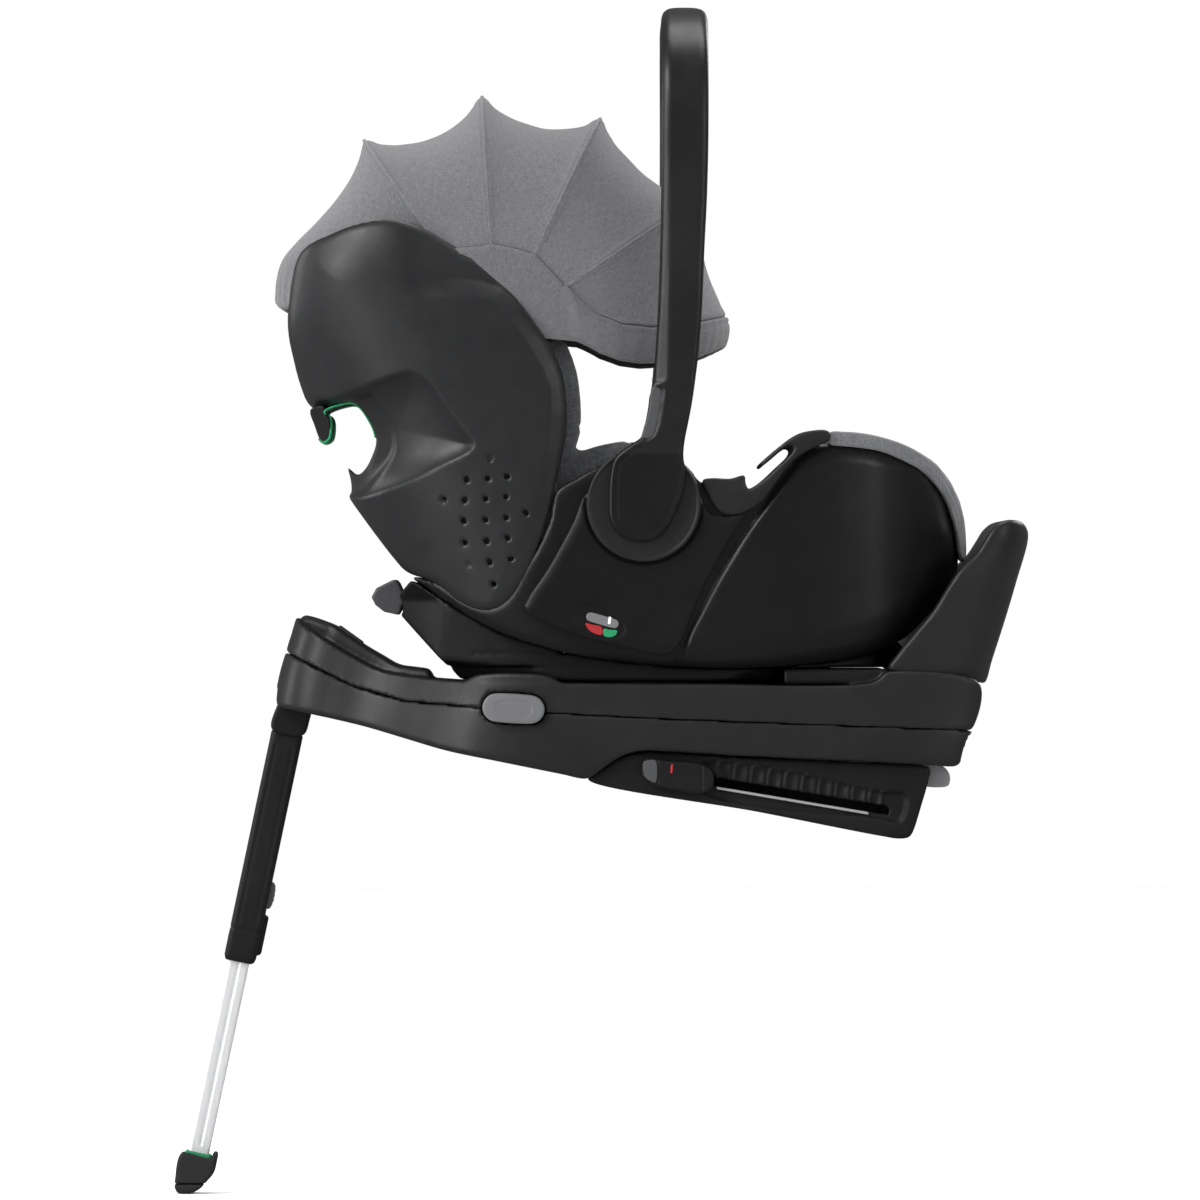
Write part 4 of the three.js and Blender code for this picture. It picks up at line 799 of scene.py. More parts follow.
# fabric over the foot-end rim
TRIM = [(829, 433), (845, 432.2), (862, 433.5), (882, 437.5), (902, 444), (921, 453), (938, 465), (951, 480.5), (961, 499), (967.5, 520), (971, 545), (970.5, 556), (966, 562), (961, 556), (958.6, 541), (954, 520), (946, 500), (934, 482.5), (916, 467.5), (882, 452), (858, 448), (842, 446.5), (829, 444.5)]
v = Vol(824, 976, 424, 570, -186, 186, 1.8)
sd = v.side(TRIM)
outer = v.plan(FOOT_PLAN, 0, 500) - 1.6
inside = both(v.side([(800, 400), (878, 400), (906, 422), (944, 470), (949, 500), (956.5, 547), (957, 575), (800, 600)]), v.plan(FOOT_PLAN, 0, 500) + 23, 4)
pucker = 0.55 * np.sin(v.ay / 4.2 + v.u * 0.05) * roll(-sd, 9)
f = cut(both(sd + pucker * 0.4, outer + pucker, 4.0), inside, 3.0)
f = f + 1.6 * np.exp(-((sd + 4.6) / 1.3) ** 2) * 0.7
moulded("foot_rim_fabric", v, f, "carrier", M["foot_trim"], "foot_rim_cover", 2)

# ---- carry handle --------------------------------------------------------------------------------------------------------
HANDLE = [(661, 42), (661.3, 18), (664, 9), (671, 4.5), (684, 3.2), (697, 4.5), (704.5, 9), (707.5, 18), (708, 42), (708, 140), (706.5, 200), (704, 250), (702, 300), (699, 345), (696, 372), (691.5, 404),
          (687.5, 425), (684, 443), (683, 458), (685.5, 474), (683.5, 492), (676, 512), (667, 529), (656, 539.5), (643, 542), (627, 539), (615, 531), (609.5, 519), (608.5, 500), (609.5, 478), (613, 461), (621, 452), (633, 443.5), (640.5, 438.5),
          (645, 424), (649.5, 402), (652.5, 382), (654.5, 358), (658, 300), (660, 240), (661, 180), (661.2, 110)]
v = Vol(600, 716, -2, 548, -220, 220, 2.0)
arm_line, arm_r = [], []
for vv, y, t in ((545, 209.7, 4.6), (505, 209.7, 4.6), (470, 209.4, 4.8), (452, 208.6, 5.6), (435, 207.6, 6.8), (412, 207.0, 8.4), (394, 206.4, 9), (345, 206, 9), (300, 206, 9), (240, 204, 9), (180, 201.6, 9)):
    arm_line.append((y, float(Z(vv)))); arm_r.append(t)
ex, A = 3.4, 201.0
for k in range(1, 41):
    t = k / 40 * math.pi / 2
    y = A * math.cos(t) ** (2 / ex)
    vv = 180 - 167 * math.sin(t) ** (2 / ex)
    arm_line.append((y, float(Z(vv)))); arm_r.append(9 + 1.4 * k / 40)
band = line_dist(arm_line, v.ay[0], v.z[0], arm_r)[None]
edge_line = np.interp(v.v, [0, 30, 180, 300, 380, 400, 430], [669, 669, 669.5, 669.5, 668, 640, 600])
lean = np.clip((edge_line - v.u) * G, 0, None) * 0.42
edge_line2 = np.interp(v.v, [0, 180, 300, 380, 400], [701.5, 701, 697, 691, 720])
lean = lean + np.clip((v.u - edge_line2) * G, 0, None) * 0.30
sd = v.side(HANDLE)
f = both(sd, band + lean, 3.6)
f = np.maximum(f, -(both(v.side([(651, 387), (662, 389), (661, 405), (654, 437), (640, 443), (630, 440)]), 212.6 - v.ay, 0.5)) )
low = smooth((v.v - 440) / 12)
f = f + 1.1 * np.exp(-((sd + 7) / 1.2) ** 2) * low * (v.ay > 209)
bow = moulded("handle_bow_moulding", v, f, "handle", M["handle"], "handle_bow", 3)
bow.data.materials.append(M["black"])
cen = np.empty(len(bow.data.polygons) * 3, np.float32)
bow.data.polygons.foreach_get("center", cen)
bow.data.polygons.foreach_set("material_index", (cen.reshape(-1, 3)[:, 2] * 1000 < Z(455)).astype(np.int32))

for side, s in (("left", -1), ("right", 1)):
    prof = [(0.0, s * 197.0), (53.6, s * 197.0), (54.7, s * 197.5), (55.1, s * 198.6), (55.0, s * 201.8), (54.6, s * 202.9), (53.9, s * 203.5), (53.0, s * 203.7), (52.1, s * 203.4), (51.2, s * 202.9), (49.8, s * 202.7), (30, s * 203.1), (0.0, s * 203.2)]
    lathe_y(f"handle_hub_cap_{side}", HUB, prof, "carrier", M["base"], (f"handle_hub_{side}",))

v = Vol(634, 666, 382, 446, -216, -198, 0.9)
f = both(v.side([(652.5, 387.5), (660.5, 390), (660, 405), (653.5, 436), (650, 439), (641.5, 438), (642, 434), (648.5, 410)], True, 3), v.slab(-213.4, -203), 1.6)
f = f + 0.35 * np.exp(-(((v.v - 400) % 7 - 3.5) / 0.9) ** 2) * (v.v > 396) * (v.v < 432)
two("handle_button_cap", v, f, ("handle_button_l", "handle_button_r"), M["midgrey"], "handle_button", 1)

# ---- base ----------------------------------------------------------------------------------------------------------------
def base_plan(v):
    return v.plan(BASE_PLAN, 0.25, 700)


BUTTON = pill((497, 707.2), (530.5, 709.2), 15.2)
SEAM_V = ([240, 284, 352, 405, 478, 560, 654, 970, 1060], [636, 652, 686, 701, 707, 713, 718, 730, 733])
v = Vol(250, 1000, 608, 800, -188, 188, 2.2)
bp = base_plan(v)
seam = (v.v - np.interp(v.u, *SEAM_V)) * G  # mm below the seam
LOWER = [(262, 640), (284, 651), (352, 684), (405, 699), (478, 705), (560, 711), (654, 716), (972, 728), (968, 738), (962, 752), (958.5, 764.5), (926, 764.5), (860, 761), (740, 755.5), (660, 751), (643, 750.5), (624, 755), (606, 766), (594, 775), (586, 778.4),
         (560, 773.5), (500, 761.5), (446, 750.5), (404, 738.5), (364, 727), (330, 719), (311, 715), (290, 710.5), (274, 706), (268, 690)]
belly = 1.4 * ((seam - 22) / 26) ** 2 * (seam > 0)
low = both(v.side(LOWER, True), bp + np.clip(belly, 0, 5), 4.5)
low = both(low, 0.15 - seam, 0.3)
low = cut(low, both(v.side(LOWER_IN), bp + 4.2, 2), 1.0)
low = cut(low, both(v.side([(255, 690), (345, 690), (350, 704), (548, 704), (548, 800), (250, 800)], False), v.ay - 27, 3), 1.5)
well = both(v.side([(640, 700), (800, 726), (935, 748), (975, 764), (975, 800), (640, 800)], False), np.abs(v.ay - 142.5) - 18.5, 1)
low = cut(low, well, 1.0)
pocket = both(v.side(BUTTON), 150 - v.ay, 0.5)
low = cut(low, pocket, 1.6)
moulded("base_lower_moulding", v, low, "base", M["base"], "base_lower_shell", 3)
del low

UP = [(294, 616.5), (299, 623), (312, 632), (330, 644), (352, 657), (380, 670.5), (405, 675.5), (463, 681), (562, 682.5), (700, 683.5), (874, 681), (884, 672.5), (889, 671), (979, 683.5), (972, 728), (966, 731), (654, 719.5), (560, 714.5), (478, 708.5), (405, 702.5), (352, 687.5), (284, 653.5), (287, 634)]
flare = 1.8 * np.clip(1 - (-seam) / 34, 0, 1) ** 2
upf = both(v.side(UP, True), bp + 1.8 - flare, 3.0)
upf = both(upf, seam + 0.15, 0.3)
cr = both(v.side(CROWN), bp + 7 + 21 * smooth((v.ay - 8) / 50), 6)
upf = join(upf, cr, 2.5)
rise = both(v.side([(460, 686), (474, 676), (489, 673.3), (520, 673), (540, 674), (553, 677.5), (565, 686), (565, 704), (460, 704)]), bp + 2, 3)
rise = np.maximum(rise, 188 - np.hypot(v.x - X(640), v.y))
upf = join(upf, rise, 2)
cres = both(v.side([(784, 668.9), (887.3, 668.9), (887.3, 684), (784, 684)], False), v.ay - 150, 0.8)
cres = np.maximum(cres, 188.5 - np.hypot(v.x - X(640), v.y))
upf = join(upf, cres, 1)
upf = cut(upf, both(v.side(UPPER_IN), bp + 6, 2), 1.0)
upf = cut(upf, np.maximum(np.hypot(v.x - X(640), v.y) - 152.6, np.abs(v.v - 680) - 24), 1.2)
upf = cut(upf, pocket, 1.6)
upf = cut(upf, np.maximum(np.maximum(np.abs(v.x - float(X(347.5))) - 15.2, v.ay - 19), v.v - 656), 0.8)
# the nose's inset window is cut above; the field for a shallow tray round it is worked out here but not used
tray = both(v.side([(322, 600), (372, 600), (376, 660), (322, 636)], False), v.ay - 27, 5)
moulded("base_upper_moulding", v, upf, "base", M["base"], "base_upper_shell", 3)
del upf, cr, rise, cres, bp

v = Vol(476, 552, 688, 728, -187, -150, 1.0)
f = both(v.side(pill((497, 707.2), (530.5, 709.2), 14.3), True, 3), v.slab(-183.8, -156), 2.6)
f = cut(f, both(v.side(pill((503, 707.6), (524.5, 708.9), 8.0), True, 2), v.y + 183.0, 0.6), 0.8)
two("swivel_button_cap", v, f, ("swivel_button_l", "swivel_button_r"), M["grey"], "swivel_button", 2)

v = Vol(474, 554, 686, 730, -153, -147, 0.8)
f = both(v.side(pill((497, 707.2), (530.5, 709.2), 17.5), True, 3), v.slab(-151.6, -149.2), 0.5)
two("swivel_button_backing", v, f, ("base", "base"), M["dark"], None, 1)

v = Vol(330, 366, 620, 656, -20, 20, 0.8)
f = both(v.side([(333, 628), (338, 625.5), (361, 642), (361, 650), (333, 650)], False), v.ay - 17.6, 2.0)
ribs = 0.8 * (np.abs(((v.y + 100) % 5.0) - 2.5) < 0.9)
f = f + ribs * (v.ay < 13) * 0.6
moulded("nose_button_cap", v, f, "nose_button", M["midgrey"], "nose_release_button", 1)

# ISOFIX housing: inset, darker, with cooling-fin pattern, rail and side slot
along = lambda u, w: (u, w + (u - 940) * math.tan(SLOPE))
v = Vol(580, 940, 746, 845, -172, 172, 2.0)
hs = v.side([(588, 779), (598, 771.5), (609, 764), (625, 755.5), (643, 752), (740, 756.5), (860, 762), (924, 765.5), (930, 768), (929, 776), (920, 808), (913, 830), (909, 836.5), (899, 838.3), (880, 835.5), (760, 812)])
yy = v.ay - 168
fins = np.full((v.x.size, 1, v.z.size), 9.0, np.float32)
for k in range(10):
    cu = 724 + 16.9 * k
    cv = 785.5 + (cu - 797) * 0.165
    ring = pill((cu, cv - 8), (cu - 1.5, cv + 6), 5.6)
    d = np.abs(v.side(ring, True, 3)) - 1.5
    d = np.maximum(d, (v.v - (cv + 7)) * G)
    fins = np.minimum(fins, d)
recess = v.side([(704, 762), (880, 790), (906, 794), (900, 822), (880, 819), (700, 791)], True)
yy = yy + 3.6 * smooth(-recess / 2.5) - 3.0 * smooth(-fins / 0.9 * 0.7 + 0.5) * (recess < -1)
f = both(hs, yy, 3.0)
chan = np.minimum(both(v.side([along(628, 762), along(1000, 762), along(1000, 789), along(628, 789)], False), np.abs(v.ay - 142.5) - 18.5, 1),
                  both(v.side([(628, 740), (900, 752), (905, 820), (720, 794), (628, 790)], False), np.abs(v.ay - 142.5) - 18.5, 1))
f = cut(f, chan, 0.8)
f = cut(f, both(v.side([along(680, 815), along(888, 815), along(888, 823), along(680, 823)], False), 160 - v.ay, 0.3), 0.8)
f = cut(f, both(v.side([(660, 740), (896, 752), (890, 824), (660, 780)], False), v.ay - 114, 3), 1.0)
moulded("isofix_housing_moulding", v, f, "base", M["dark"], "isofix_housing", 2)

v = Vol(636, 718, 752, 798, -184, -146, 0.9)
f = both(v.side([(642, 762), (646, 758.5), (656, 758.5), (664, 760), (698, 763), (706, 766), (712.5, 772), (713, 785), (707, 791), (700, 792.8), (690, 792), (658, 786), (650, 783), (642.5, 776)], True, 3), v.slab(-181, -168.8), 2.4)
f = cut(f, np.maximum(np.abs(v.u - 657.5) * G - 0.5, v.y + 179.8), 0.3)
f = cut(f, np.maximum(np.abs(v.u - 702) * G - 0.5, v.y + 179.8), 0.3)
f = join(f, both(v.side([along(684, 816.6), along(706, 816.6), along(706, 821.2), along(684, 821.2)], False), v.slab(-169.8, -152.5), 0.3), 0.5)
f = join(f, both(v.side([along(684, 770), along(706, 770), along(706, 821.2), along(684, 821.2)], False), v.slab(-156, -149.6), 0.3), 0.5)
two("isofix_slider_moulding", v, f, ("isofix", "isofix"), M["dark"], "isofix_slider", 2)
v = Vol(638, 680, 752, 790, -184, -176, 0.7)
f = both(v.side([(643.5, 762), (647, 759.8), (655.5, 760), (655.5, 782), (651, 781), (644, 775)], True, 2), v.slab(-182.0, -180.2), 0.7)
two("slider_cap", v, f, ("isofix", "isofix"), M["midgrey"], None, 1)
f = both(v.side([(670.8, 763.4), (673.4, 763.8), (672.4, 773), (669.8, 772.6)], False), v.slab(-181.9, -180.4), 0.4)
two("slider_mark", v, f, ("isofix", "isofix"), M["red"], None, 0)
# scale rail beside the slot
v = Vol(708, 884, 780, 826, -170, -162, 0.9)
rail = [(716, 786), (868, 811.5), (868, 814.3), (716, 788.8)]
f = both(v.side(rail, False), v.slab(-168.4, -164), 0.7)
two("isofix_rail", v, f, ("base", "base"), M["steel"], None, 1)

# ISOFIX arms and jaws
v = Vol(670, 925, 715, 785, -150, -130, 1.2)
f = both(v.side([along(676, 767.5), along(920, 767.5), along(920, 784), along(676, 784)], False), v.slab(-149, -131), 1.6)
f = cut(f, both(v.side([along(690, 773), along(900, 773), along(900, 778), along(690, 778)], False), v.y + 147.2, 0.4), 0.6)
two("isofix_arm_bar", v, f, ("isofix", "isofix"), M["steel"], "isofix_arm", 2)
v = Vol(916, 955, 758, 796, -156, -124, 0.8)
f = both(v.side([along(920.6, 765), along(941, 765), along(948, 770), along(950, 777), along(948, 784), along(941, 787), along(920.6, 787)], True, 2), v.slab(-152.8, -127.2), 2.4)
f = cut(f, both(v.side([along(933, 772.5), along(962, 771), along(962, 783.5), along(933, 781.5)], False), v.slab(-149, -131), 0.4), 0.8)
two("isofix_jaw", v, f, ("isofix", "isofix"), M["grey"], "isofix_connector", 1)

# rebound bar
BAR = [(888, 668.5), (897, 653.5), (915, 631.5), (932, 611), (947, 587), (959, 569.5), (974, 555), (984, 540), (991, 529), (1000, 521.8), (1012, 519.8), (1023, 522.5), (1029, 531), (1029.5, 541), (1018, 580), (1006, 620), (993, 660), (985.5, 683), (979, 682.3), (930, 675.5)]
v = Vol(882, 1036, 512, 692, -182, 182, 2.0)
sd = v.side(BAR)
bpl = v.plan([[700, 178], *BAR_PLAN[1:]], 0.3, 620)
fluting = 1.5 * roll(-sd, 14) + 5 * smooth((600 - v.v) / 80) * roll(-sd, 30)
f = both(sd, bpl + fluting, 4.0)
clear = v.turned([(0, 480), (337, 480), (337, 545), (335, 575), (325, 592), (316, 611), (305, 640), (289, 655), (266, 670), (258, 700), (0, 700)])
f = cut(f, clear, 3.0)
moulded("rebound_bar_moulding", v, f, "base", M["base"], "rebound_bar", 3)
del bpl, clear

# cradle, swivel plate and release lever
v = Vol(388, 912, 574, 690, -160, 160, 2.2)
cr_line = CRADLE[:CRADLE.index([890.8, 646.4]) + 1] + [[898, 642.6], [903, 648], [903, 674]] + CRADLE[CRADLE.index([862, 680.8]):]
f = both(v.side(cr_line, False) - 1.9, v.ay - 157, 3)
f = both(f, (v.v - 680.8) * G, 1)
reach = both(v.turned([(0, 560), (275, 560), (264, 600), (258, 668.3), (186, 668.3), (184, 672), (179, 679.2), (170, 680.8), (170, 700), (0, 700)]), X(790) - v.x, 0.5)
f = both(f, np.minimum(reach, v.turned([(0, 560), (275, 560), (240, 600), (236, 660), (212, 664), (205, 666.3), (186, 666.3), (184, 672), (179, 679.2), (170, 680.8), (170, 700), (0, 700)])), 2)
f = both(f, v.plan([[300, 95], [400, 120], [470, 150], [640, 158], [780, 150], [870, 120], [920, 90]], -0.5, 640), 3)
f = cut(f, both(v.side([(380, 553), (408, 587), (414, 595), (414, 604), (400, 613.5), (392, 620), (360, 600)], False), v.ay - 60, 1), 1)
f = f + 1.2 * np.exp(-((v.v - 668) / 1.2) ** 2) + 1.2 * np.exp(-((v.v - 654) / 1.2) ** 2) * (v.u > 470)
moulded("cradle_moulding", v, f, "swivel", M["dark"], "cradle", 3)
v = Vol(364, 412, 576, 620, -60, 60, 1.1)
f = both(v.side([(370, 597), (375, 588), (391, 580), (395, 579.5), (398, 583), (402, 592), (407, 597), (408, 602), (401, 605), (399.5, 611), (397, 615), (383, 612), (374, 605)], False), v.ay - 56.6, 2.0)
f = cut(f, np.hypot(v.x - X(404), v.z - Z(600)) - 2.8, 0.4)
grip = 0.9 * (np.abs(((v.y + 100) % 7.0) - 3.5) < 1.1)
f = f + grip * (v.ay < 40) * (v.u < 388)
moulded("release_lever_moulding", v, f, "lever", M["midgrey"], "carrier_release_lever", 1)

# ---- support leg ---------------------------------------------------------------------------------------------------------
LD = (-math.sin(LEG_TILT), math.cos(LEG_TILT))
lp = lambda d, w: (LEG_TOP[0] + (LD[0] * d + LD[1] * w) / G, LEG_TOP[1] + (LD[1] * d - LD[0] * w) / G)
lb = lambda d0, d1, w0, w1: [lp(d0, w0), lp(d1, w0), lp(d1, w1), lp(d0, w1)]


def leg_coords(v):
    """Distance along the leg from the hinge, and across it, in mm."""
    du, dv = (v.u - LEG_TOP[0]) * G, (v.v - LEG_TOP[1]) * G
    return du * LD[0] + dv * LD[1], du * LD[1] - dv * LD[0]


v = Vol(262, 326, 680, 742, -23, 23, 1.0)
d, w = leg_coords(v)
f = both(v.side([lp(-4, -10), lp(-9, -6), lp(-10.5, 0), lp(-9, 6), lp(-4, 10.5), lp(6, 15), lp(14, 18.5), lp(22, 18.5), lp(38, 15.4), lp(38, -15.4), lp(16, -15.4), lp(6, -12)], True, 3), v.ay - 20.8, 2.5)
f = cut(f, np.hypot(v.x - X(LEG_TOP[0]), v.z - Z(LEG_TOP[1])) - 5.4, 0.5)
f = cut(f, both(both(np.abs(w) - 13.4, 24 - d, 0.3), v.ay - 14.4, 0.5), 0.6)
moulded("leg_bracket_moulding", v, f, "leg", M["dark"], "leg_bracket", 1)
v = Vol(214, 312, 728, 968, -20, 20, 1.3)
d, w = leg_coords(v)
f = both(both(np.abs(w) - 15.5 + 1.5 * smooth((d - 262) / 6), v.ay - 17 + 1.0 * smooth((d - 262) / 6), 5.0), np.maximum(38.4 - d, d - 268), 1.5)
f = f + 0.9 * np.exp(-((d - 236) / 0.9) ** 2) + 0.6 * smooth(1 - np.abs(w) / 1.2) * (v.ay > 12) * 0
groove = np.abs(np.abs(w) - 8.5) - 0.7
f = np.maximum(f, -np.maximum(np.maximum(groove, 16.2 - v.ay), np.maximum(52 - d, d - 230)))
bulk = both(both(np.abs(w - 13) - 6.5, v.ay - 7.6, 2), np.maximum(218 - d, d - 258), 3)
f = join(f, bulk, 1.0)
f = join(f, both(both(np.abs(w) - 13, v.ay - 14, 2), np.maximum(24.6 - d, d - 60), 0.5), 0.5)
f = cut(f, both(both(np.abs(w) - 10.6, v.ay - 11.6, 1.5), 20 - d, 0.3), 0.8)
f = cut(f, both(both(np.abs(w - 14.2) - 5.8, v.ay - 8.9, 0.6), np.maximum(183.5 - d, d - 214.5), 0.5), 0.6)
moulded("leg_upper_tube_moulding", v, f, "leg", M["dark"], "leg_upper_tube", 2)
v = Vol(254, 280, 872, 912, -9, 9, 0.7)
f = both(v.side([lp(185, 13.9), lp(186, 18.2), lp(192, 20.3), lp(206, 20.3), lp(213, 17), lp(213, 13.9)], True, 2), v.ay - 7.4, 1.4)
d, w = leg_coords(v)
f = f + 0.5 * (np.abs(((d - 187) % 5) - 2.5) < 0.8) * (d > 190) * (d < 209)
moulded("leg_button_cap", v, f, "leg_button", M["midgrey"], "leg_length_button", 1)
v = Vol(176, 262, 888, 1188, -13, 13, 1.2)
d, w = leg_coords(v)
f = both(both(np.abs(w) - 10, v.ay - 11, 2.6), np.maximum(205 - d, d - 474), 0.6)
f = cut(f, both(both(np.abs(w) - 8, v.ay - 9, 1.5), d - 465, 0.3), 0.3)
for k in range(9):
    f = cut(f, np.maximum(np.hypot(d - (238 + 24 * k), v.y * 1.0) - 3.0, 8.6 - w), 0.3)
f = np.maximum(f, -np.maximum(np.maximum(np.abs(w) - 1.6, 10.3 - v.ay), np.maximum(225 - d, d - 452)))
moulded("leg_lower_tube_bar", v, f, "leg_lower", M["alu"], "leg_lower_tube", 2)
v = Vol(166, 216, 1148, 1203, -26, 26, 1.0)
d, w = leg_coords(v)
f = both(v.side([lp(461, 13), lp(455.5, 14), lp(455.5, 18), lp(464, 18.8), lp(476, 18.2), (203, 1187), (196.5, 1194), (188, 1198.2), (174.5, 1198.2), (171, 1193), (171.5, 1182), lp(470, -18.6), lp(463, -17), lp(461, -12)], True, 3), v.ay - 24, 4.0)
f = cut(f, both(both(np.abs(w) - 10.4, v.ay - 11.4, 1), d - 474.4, 0.3), 0.5)
f = cut(f, both(both(np.abs(w) - 13.4, v.ay - 14.4, 1), d - 466.4, 0.3), 0.5)
f = f + 0.9 * (np.abs(((v.y + 100) % 6.0) - 3.0) < 1.0) * (v.v > 1196.5)
f = np.maximum(f, -np.maximum(np.abs((v.v - 1189) * G) - 0.6, -(v.side([(166, 1150), (216, 1150), (216, 1203), (166, 1203)], False) + 100)))
f = np.maximum(f, (v.v - 1198.5) * G)
moulded("leg_foot_pad", v, f, "leg_lower", M["rubber"], "leg_foot", 1)
v = Vol(180, 212, 1148, 1182, -17, 17, 0.8)
d, w = leg_coords(v)
f = both(both(np.abs(w) - 13, v.ay - 14, 2), np.maximum(458.6 - d, d - 466), 1.2)
f = cut(f, both(both(np.abs(w) - 10.4, v.ay - 11.4, 1), d - 500, 0.3), 0.5)
moulded("leg_foot_ring", v, f, "leg_lower", M["green"], "leg_foot_indicator", 1)
for nm in ("leg_hinge_pin",):
    NODES[nm].data.materials.clear()
    NODES[nm].data.materials.append(M["steel"])
NODES["swivel_plate"].data.materials.clear()
NODES["swivel_plate"].data.materials.append(M["dark"])

# ---- canopy --------------------------------------------------------------------------------------------------------------
PX, PZ = float(X(PIVOT[0])), float(Z(PIVOT[1]))
RIB_DEG = [124.2, 93.8, 64.9, 34.5]
PROFILE = [  # centre-line radius (grid units) at an angle, rib to rib
    [(172.8, 215.7), (171, 224.7), (166, 229.7), (161, 230.5), (155, 224), (148, 216.5), (141, 214), (134.6, 217), (129, 225.5), (124.2, 240.5)],
    [(124.2, 240.5), (121, 227.4), (116.6, 216.9), (111.3, 211.5), (105.5, 213.7), (99.6, 222), (93.8, 243.5)],
    [(93.8, 243.5), (89.2, 227), (84, 218), (78.5, 216), (73.4, 220), (68.6, 228), (64.9, 243.8)],
    [(64.9, 243.8), (61, 233), (56.8, 225), (49.8, 221), (43.6, 224), (38, 229), (34.5, 234)],
    [(34.5, 234), (29.5, 229), (24.7, 224.5), (19.7, 222), (14.4, 223), (8.9, 226.5), (5, 230), (-4, 225), (-8, 222)],
]
RIB_PX = [240.5, 243.5, 243.8, 234.0]
SEAM_DEG = [-12, 20, 33.7, 50, 75, 85, 101, 113, 124.2]
SEAM_R = [86, 88, 83.5, 84, 87.5, 88, 89.6, 95.5, 100]
W0 = 175.0


def outline_r():
    p = spline(HEAD_TRUE, True, 3)
    a = np.degrees(np.arctan2(PIVOT[1] - p[:, 1], p[:, 0] - PIVOT[0]))
    r = np.hypot(p[:, 0] - PIVOT[0], p[:, 1] - PIVOT[1])
    ok = (a > 110) & (a < 179)
    o = np.argsort(a[ok])
    return a[ok][o], r[ok][o]


SHELL_A, SHELL_R = outline_r()


def head_half(u, v):
    pu, ph = np.array(HEAD_PLAN, float).T
    return np.interp(u + 0.45 * (335 - v), pu, ph)


def canopy_point(seg, deg, t):
    """Points of the canopy cloth in mm: seg is the panel, deg the angle about the pivot, t from 0 to pi across."""
    c = spline(PROFILE[seg], False, 0.7)
    c = c[np.argsort(c[:, 0])]
    R = np.interp(deg, c[:, 0], c[:, 1]) * G
    a0, r0 = PROFILE[seg][0]
    a1, r1 = PROFILE[seg][-1] if seg != 4 else (5, 230)
    line = (r0 + (r1 - r0) * np.clip((a0 - deg) / (a0 - a1), 0, 1)) * G
    tau = np.clip((a0 - deg) / (a0 - a1), 0, 1)
    if seg == 0:
        line = np.maximum(R, line * 0 + R)
        n = 2.6 + 2.2 * smooth((deg - 130) / 34)
        W = W0 - 22 * smooth((deg - 130) / 40)
    else:
        n = np.full_like(deg, 2.6)
        W = np.full_like(deg, W0)
    s, co = np.abs(np.sin(t)), np.cos(t)
    fall = s ** 1.1
    Re = line - (line - R) * fall
    r = np.maximum(Re * s ** (2 / n), 9.0)
    y = -W * np.sign(co) * np.abs(co) ** (2 / n)
    if seg:  # the cloth also pulls in between the ribs on its sides, with a few soft tension folds from the ribs
        pinch = (1 - (2 * tau - 1) ** 2) * (4.5 if seg < 4 else 2.5)
        side = np.clip((r / G - 90) / 40, 0, 1) * (1 - s ** 3)
        y = y + np.sign(co) * pinch * side
        wave = 0.9 * np.sin(tau * 9.0 + s * 5.0) * (1 - (2 * tau - 1) ** 2) * np.clip((r / G - 95) / 60, 0, 1)
        r = r + wave * fall
    else:
        lim = head_half(PIVOT[0] + r / G * np.cos(np.radians(deg)), PIVOT[1] - r / G * np.sin(np.radians(deg))) - 7.5
        inside = smooth((np.interp(deg, SHELL_A, SHELL_R) + 5 - r / G) / 10)
        y = np.sign(y) * np.minimum(np.abs(y), np.abs(y) * (1 - inside) + np.minimum(np.abs(y), lim) * inside)
    g = np.radians(deg)
    return np.stack([PX + r * np.cos(g), y, PZ + r * np.sin(g)], -1), r


def t_at(deg, r_px, R_px, n):
    return np.arcsin(np.clip((r_px / R_px) ** (n / 2), 0, 0.9999))


def sheet_mesh(name, P, thick, lift=None, uv_scale=None, flip=False):
    """A closed thin shell from a grid of points; lift raises the outer face."""
    du = np.gradient(P, axis=0)
    dv = np.gradient(P, axis=1)
    N = np.cross(du, dv)
    N /= np.maximum(np.linalg.norm(N, axis=2, keepdims=True), 1e-9)
    centre = np.array([PX, 0, PZ])
    if ((P - centre) * N).sum() < 0:
        N = -N
    outer = P + N * (lift[..., None] if lift is not None else 0)
    inner = P - N * thick
    a, b = P.shape[:2]
    co = np.concatenate([outer.reshape(-1, 3), inner.reshape(-1, 3)])
    idx = np.arange(a * b).reshape(a, b)
    q = np.stack([idx[:-1, :-1], idx[1:, :-1], idx[1:, 1:], idx[:-1, 1:]], -1).reshape(-1, 4)
    m = a * b
    top, bottom = q, q[:, ::-1] + m
    rim = []
    edge = list(idx[:, 0]) + list(idx[-1, 1:]) + list(idx[-2::-1, -1]) + list(idx[0, -2:0:-1])
    for k in range(len(edge)):
        i, j = edge[k], edge[(k + 1) % len(edge)]
        rim.append((j, i, i + m, j + m))
    quads = np.vstack([top, bottom, np.array(rim)])
    me = new_mesh(name, co, quads)
    outward(me)
    # UVs in metres along the two directions of the cloth
    ua = np.concatenate([[0], np.cumsum(np.linalg.norm(np.diff(P[:, b // 2], axis=0), axis=1))]) / 1000
    vb = np.concatenate([[0], np.cumsum(np.linalg.norm(np.diff(P[a // 2], axis=0), axis=1))]) / 1000
    uvv = np.stack(np.meshgrid(ua, vb, indexing="ij"), -1).reshape(-1, 2)
    uvv = np.vstack([uvv, uvv])
    layer = me.uv_layers.new(name="weave")
    vi = np.empty(len(me.loops), np.int32)
    me.loops.foreach_get("vertex_index", vi)
    layer.data.foreach_set("uv", uvv[vi].astype(np.float32).ravel())
    return me, float(ua[-1]), float(vb[-1])


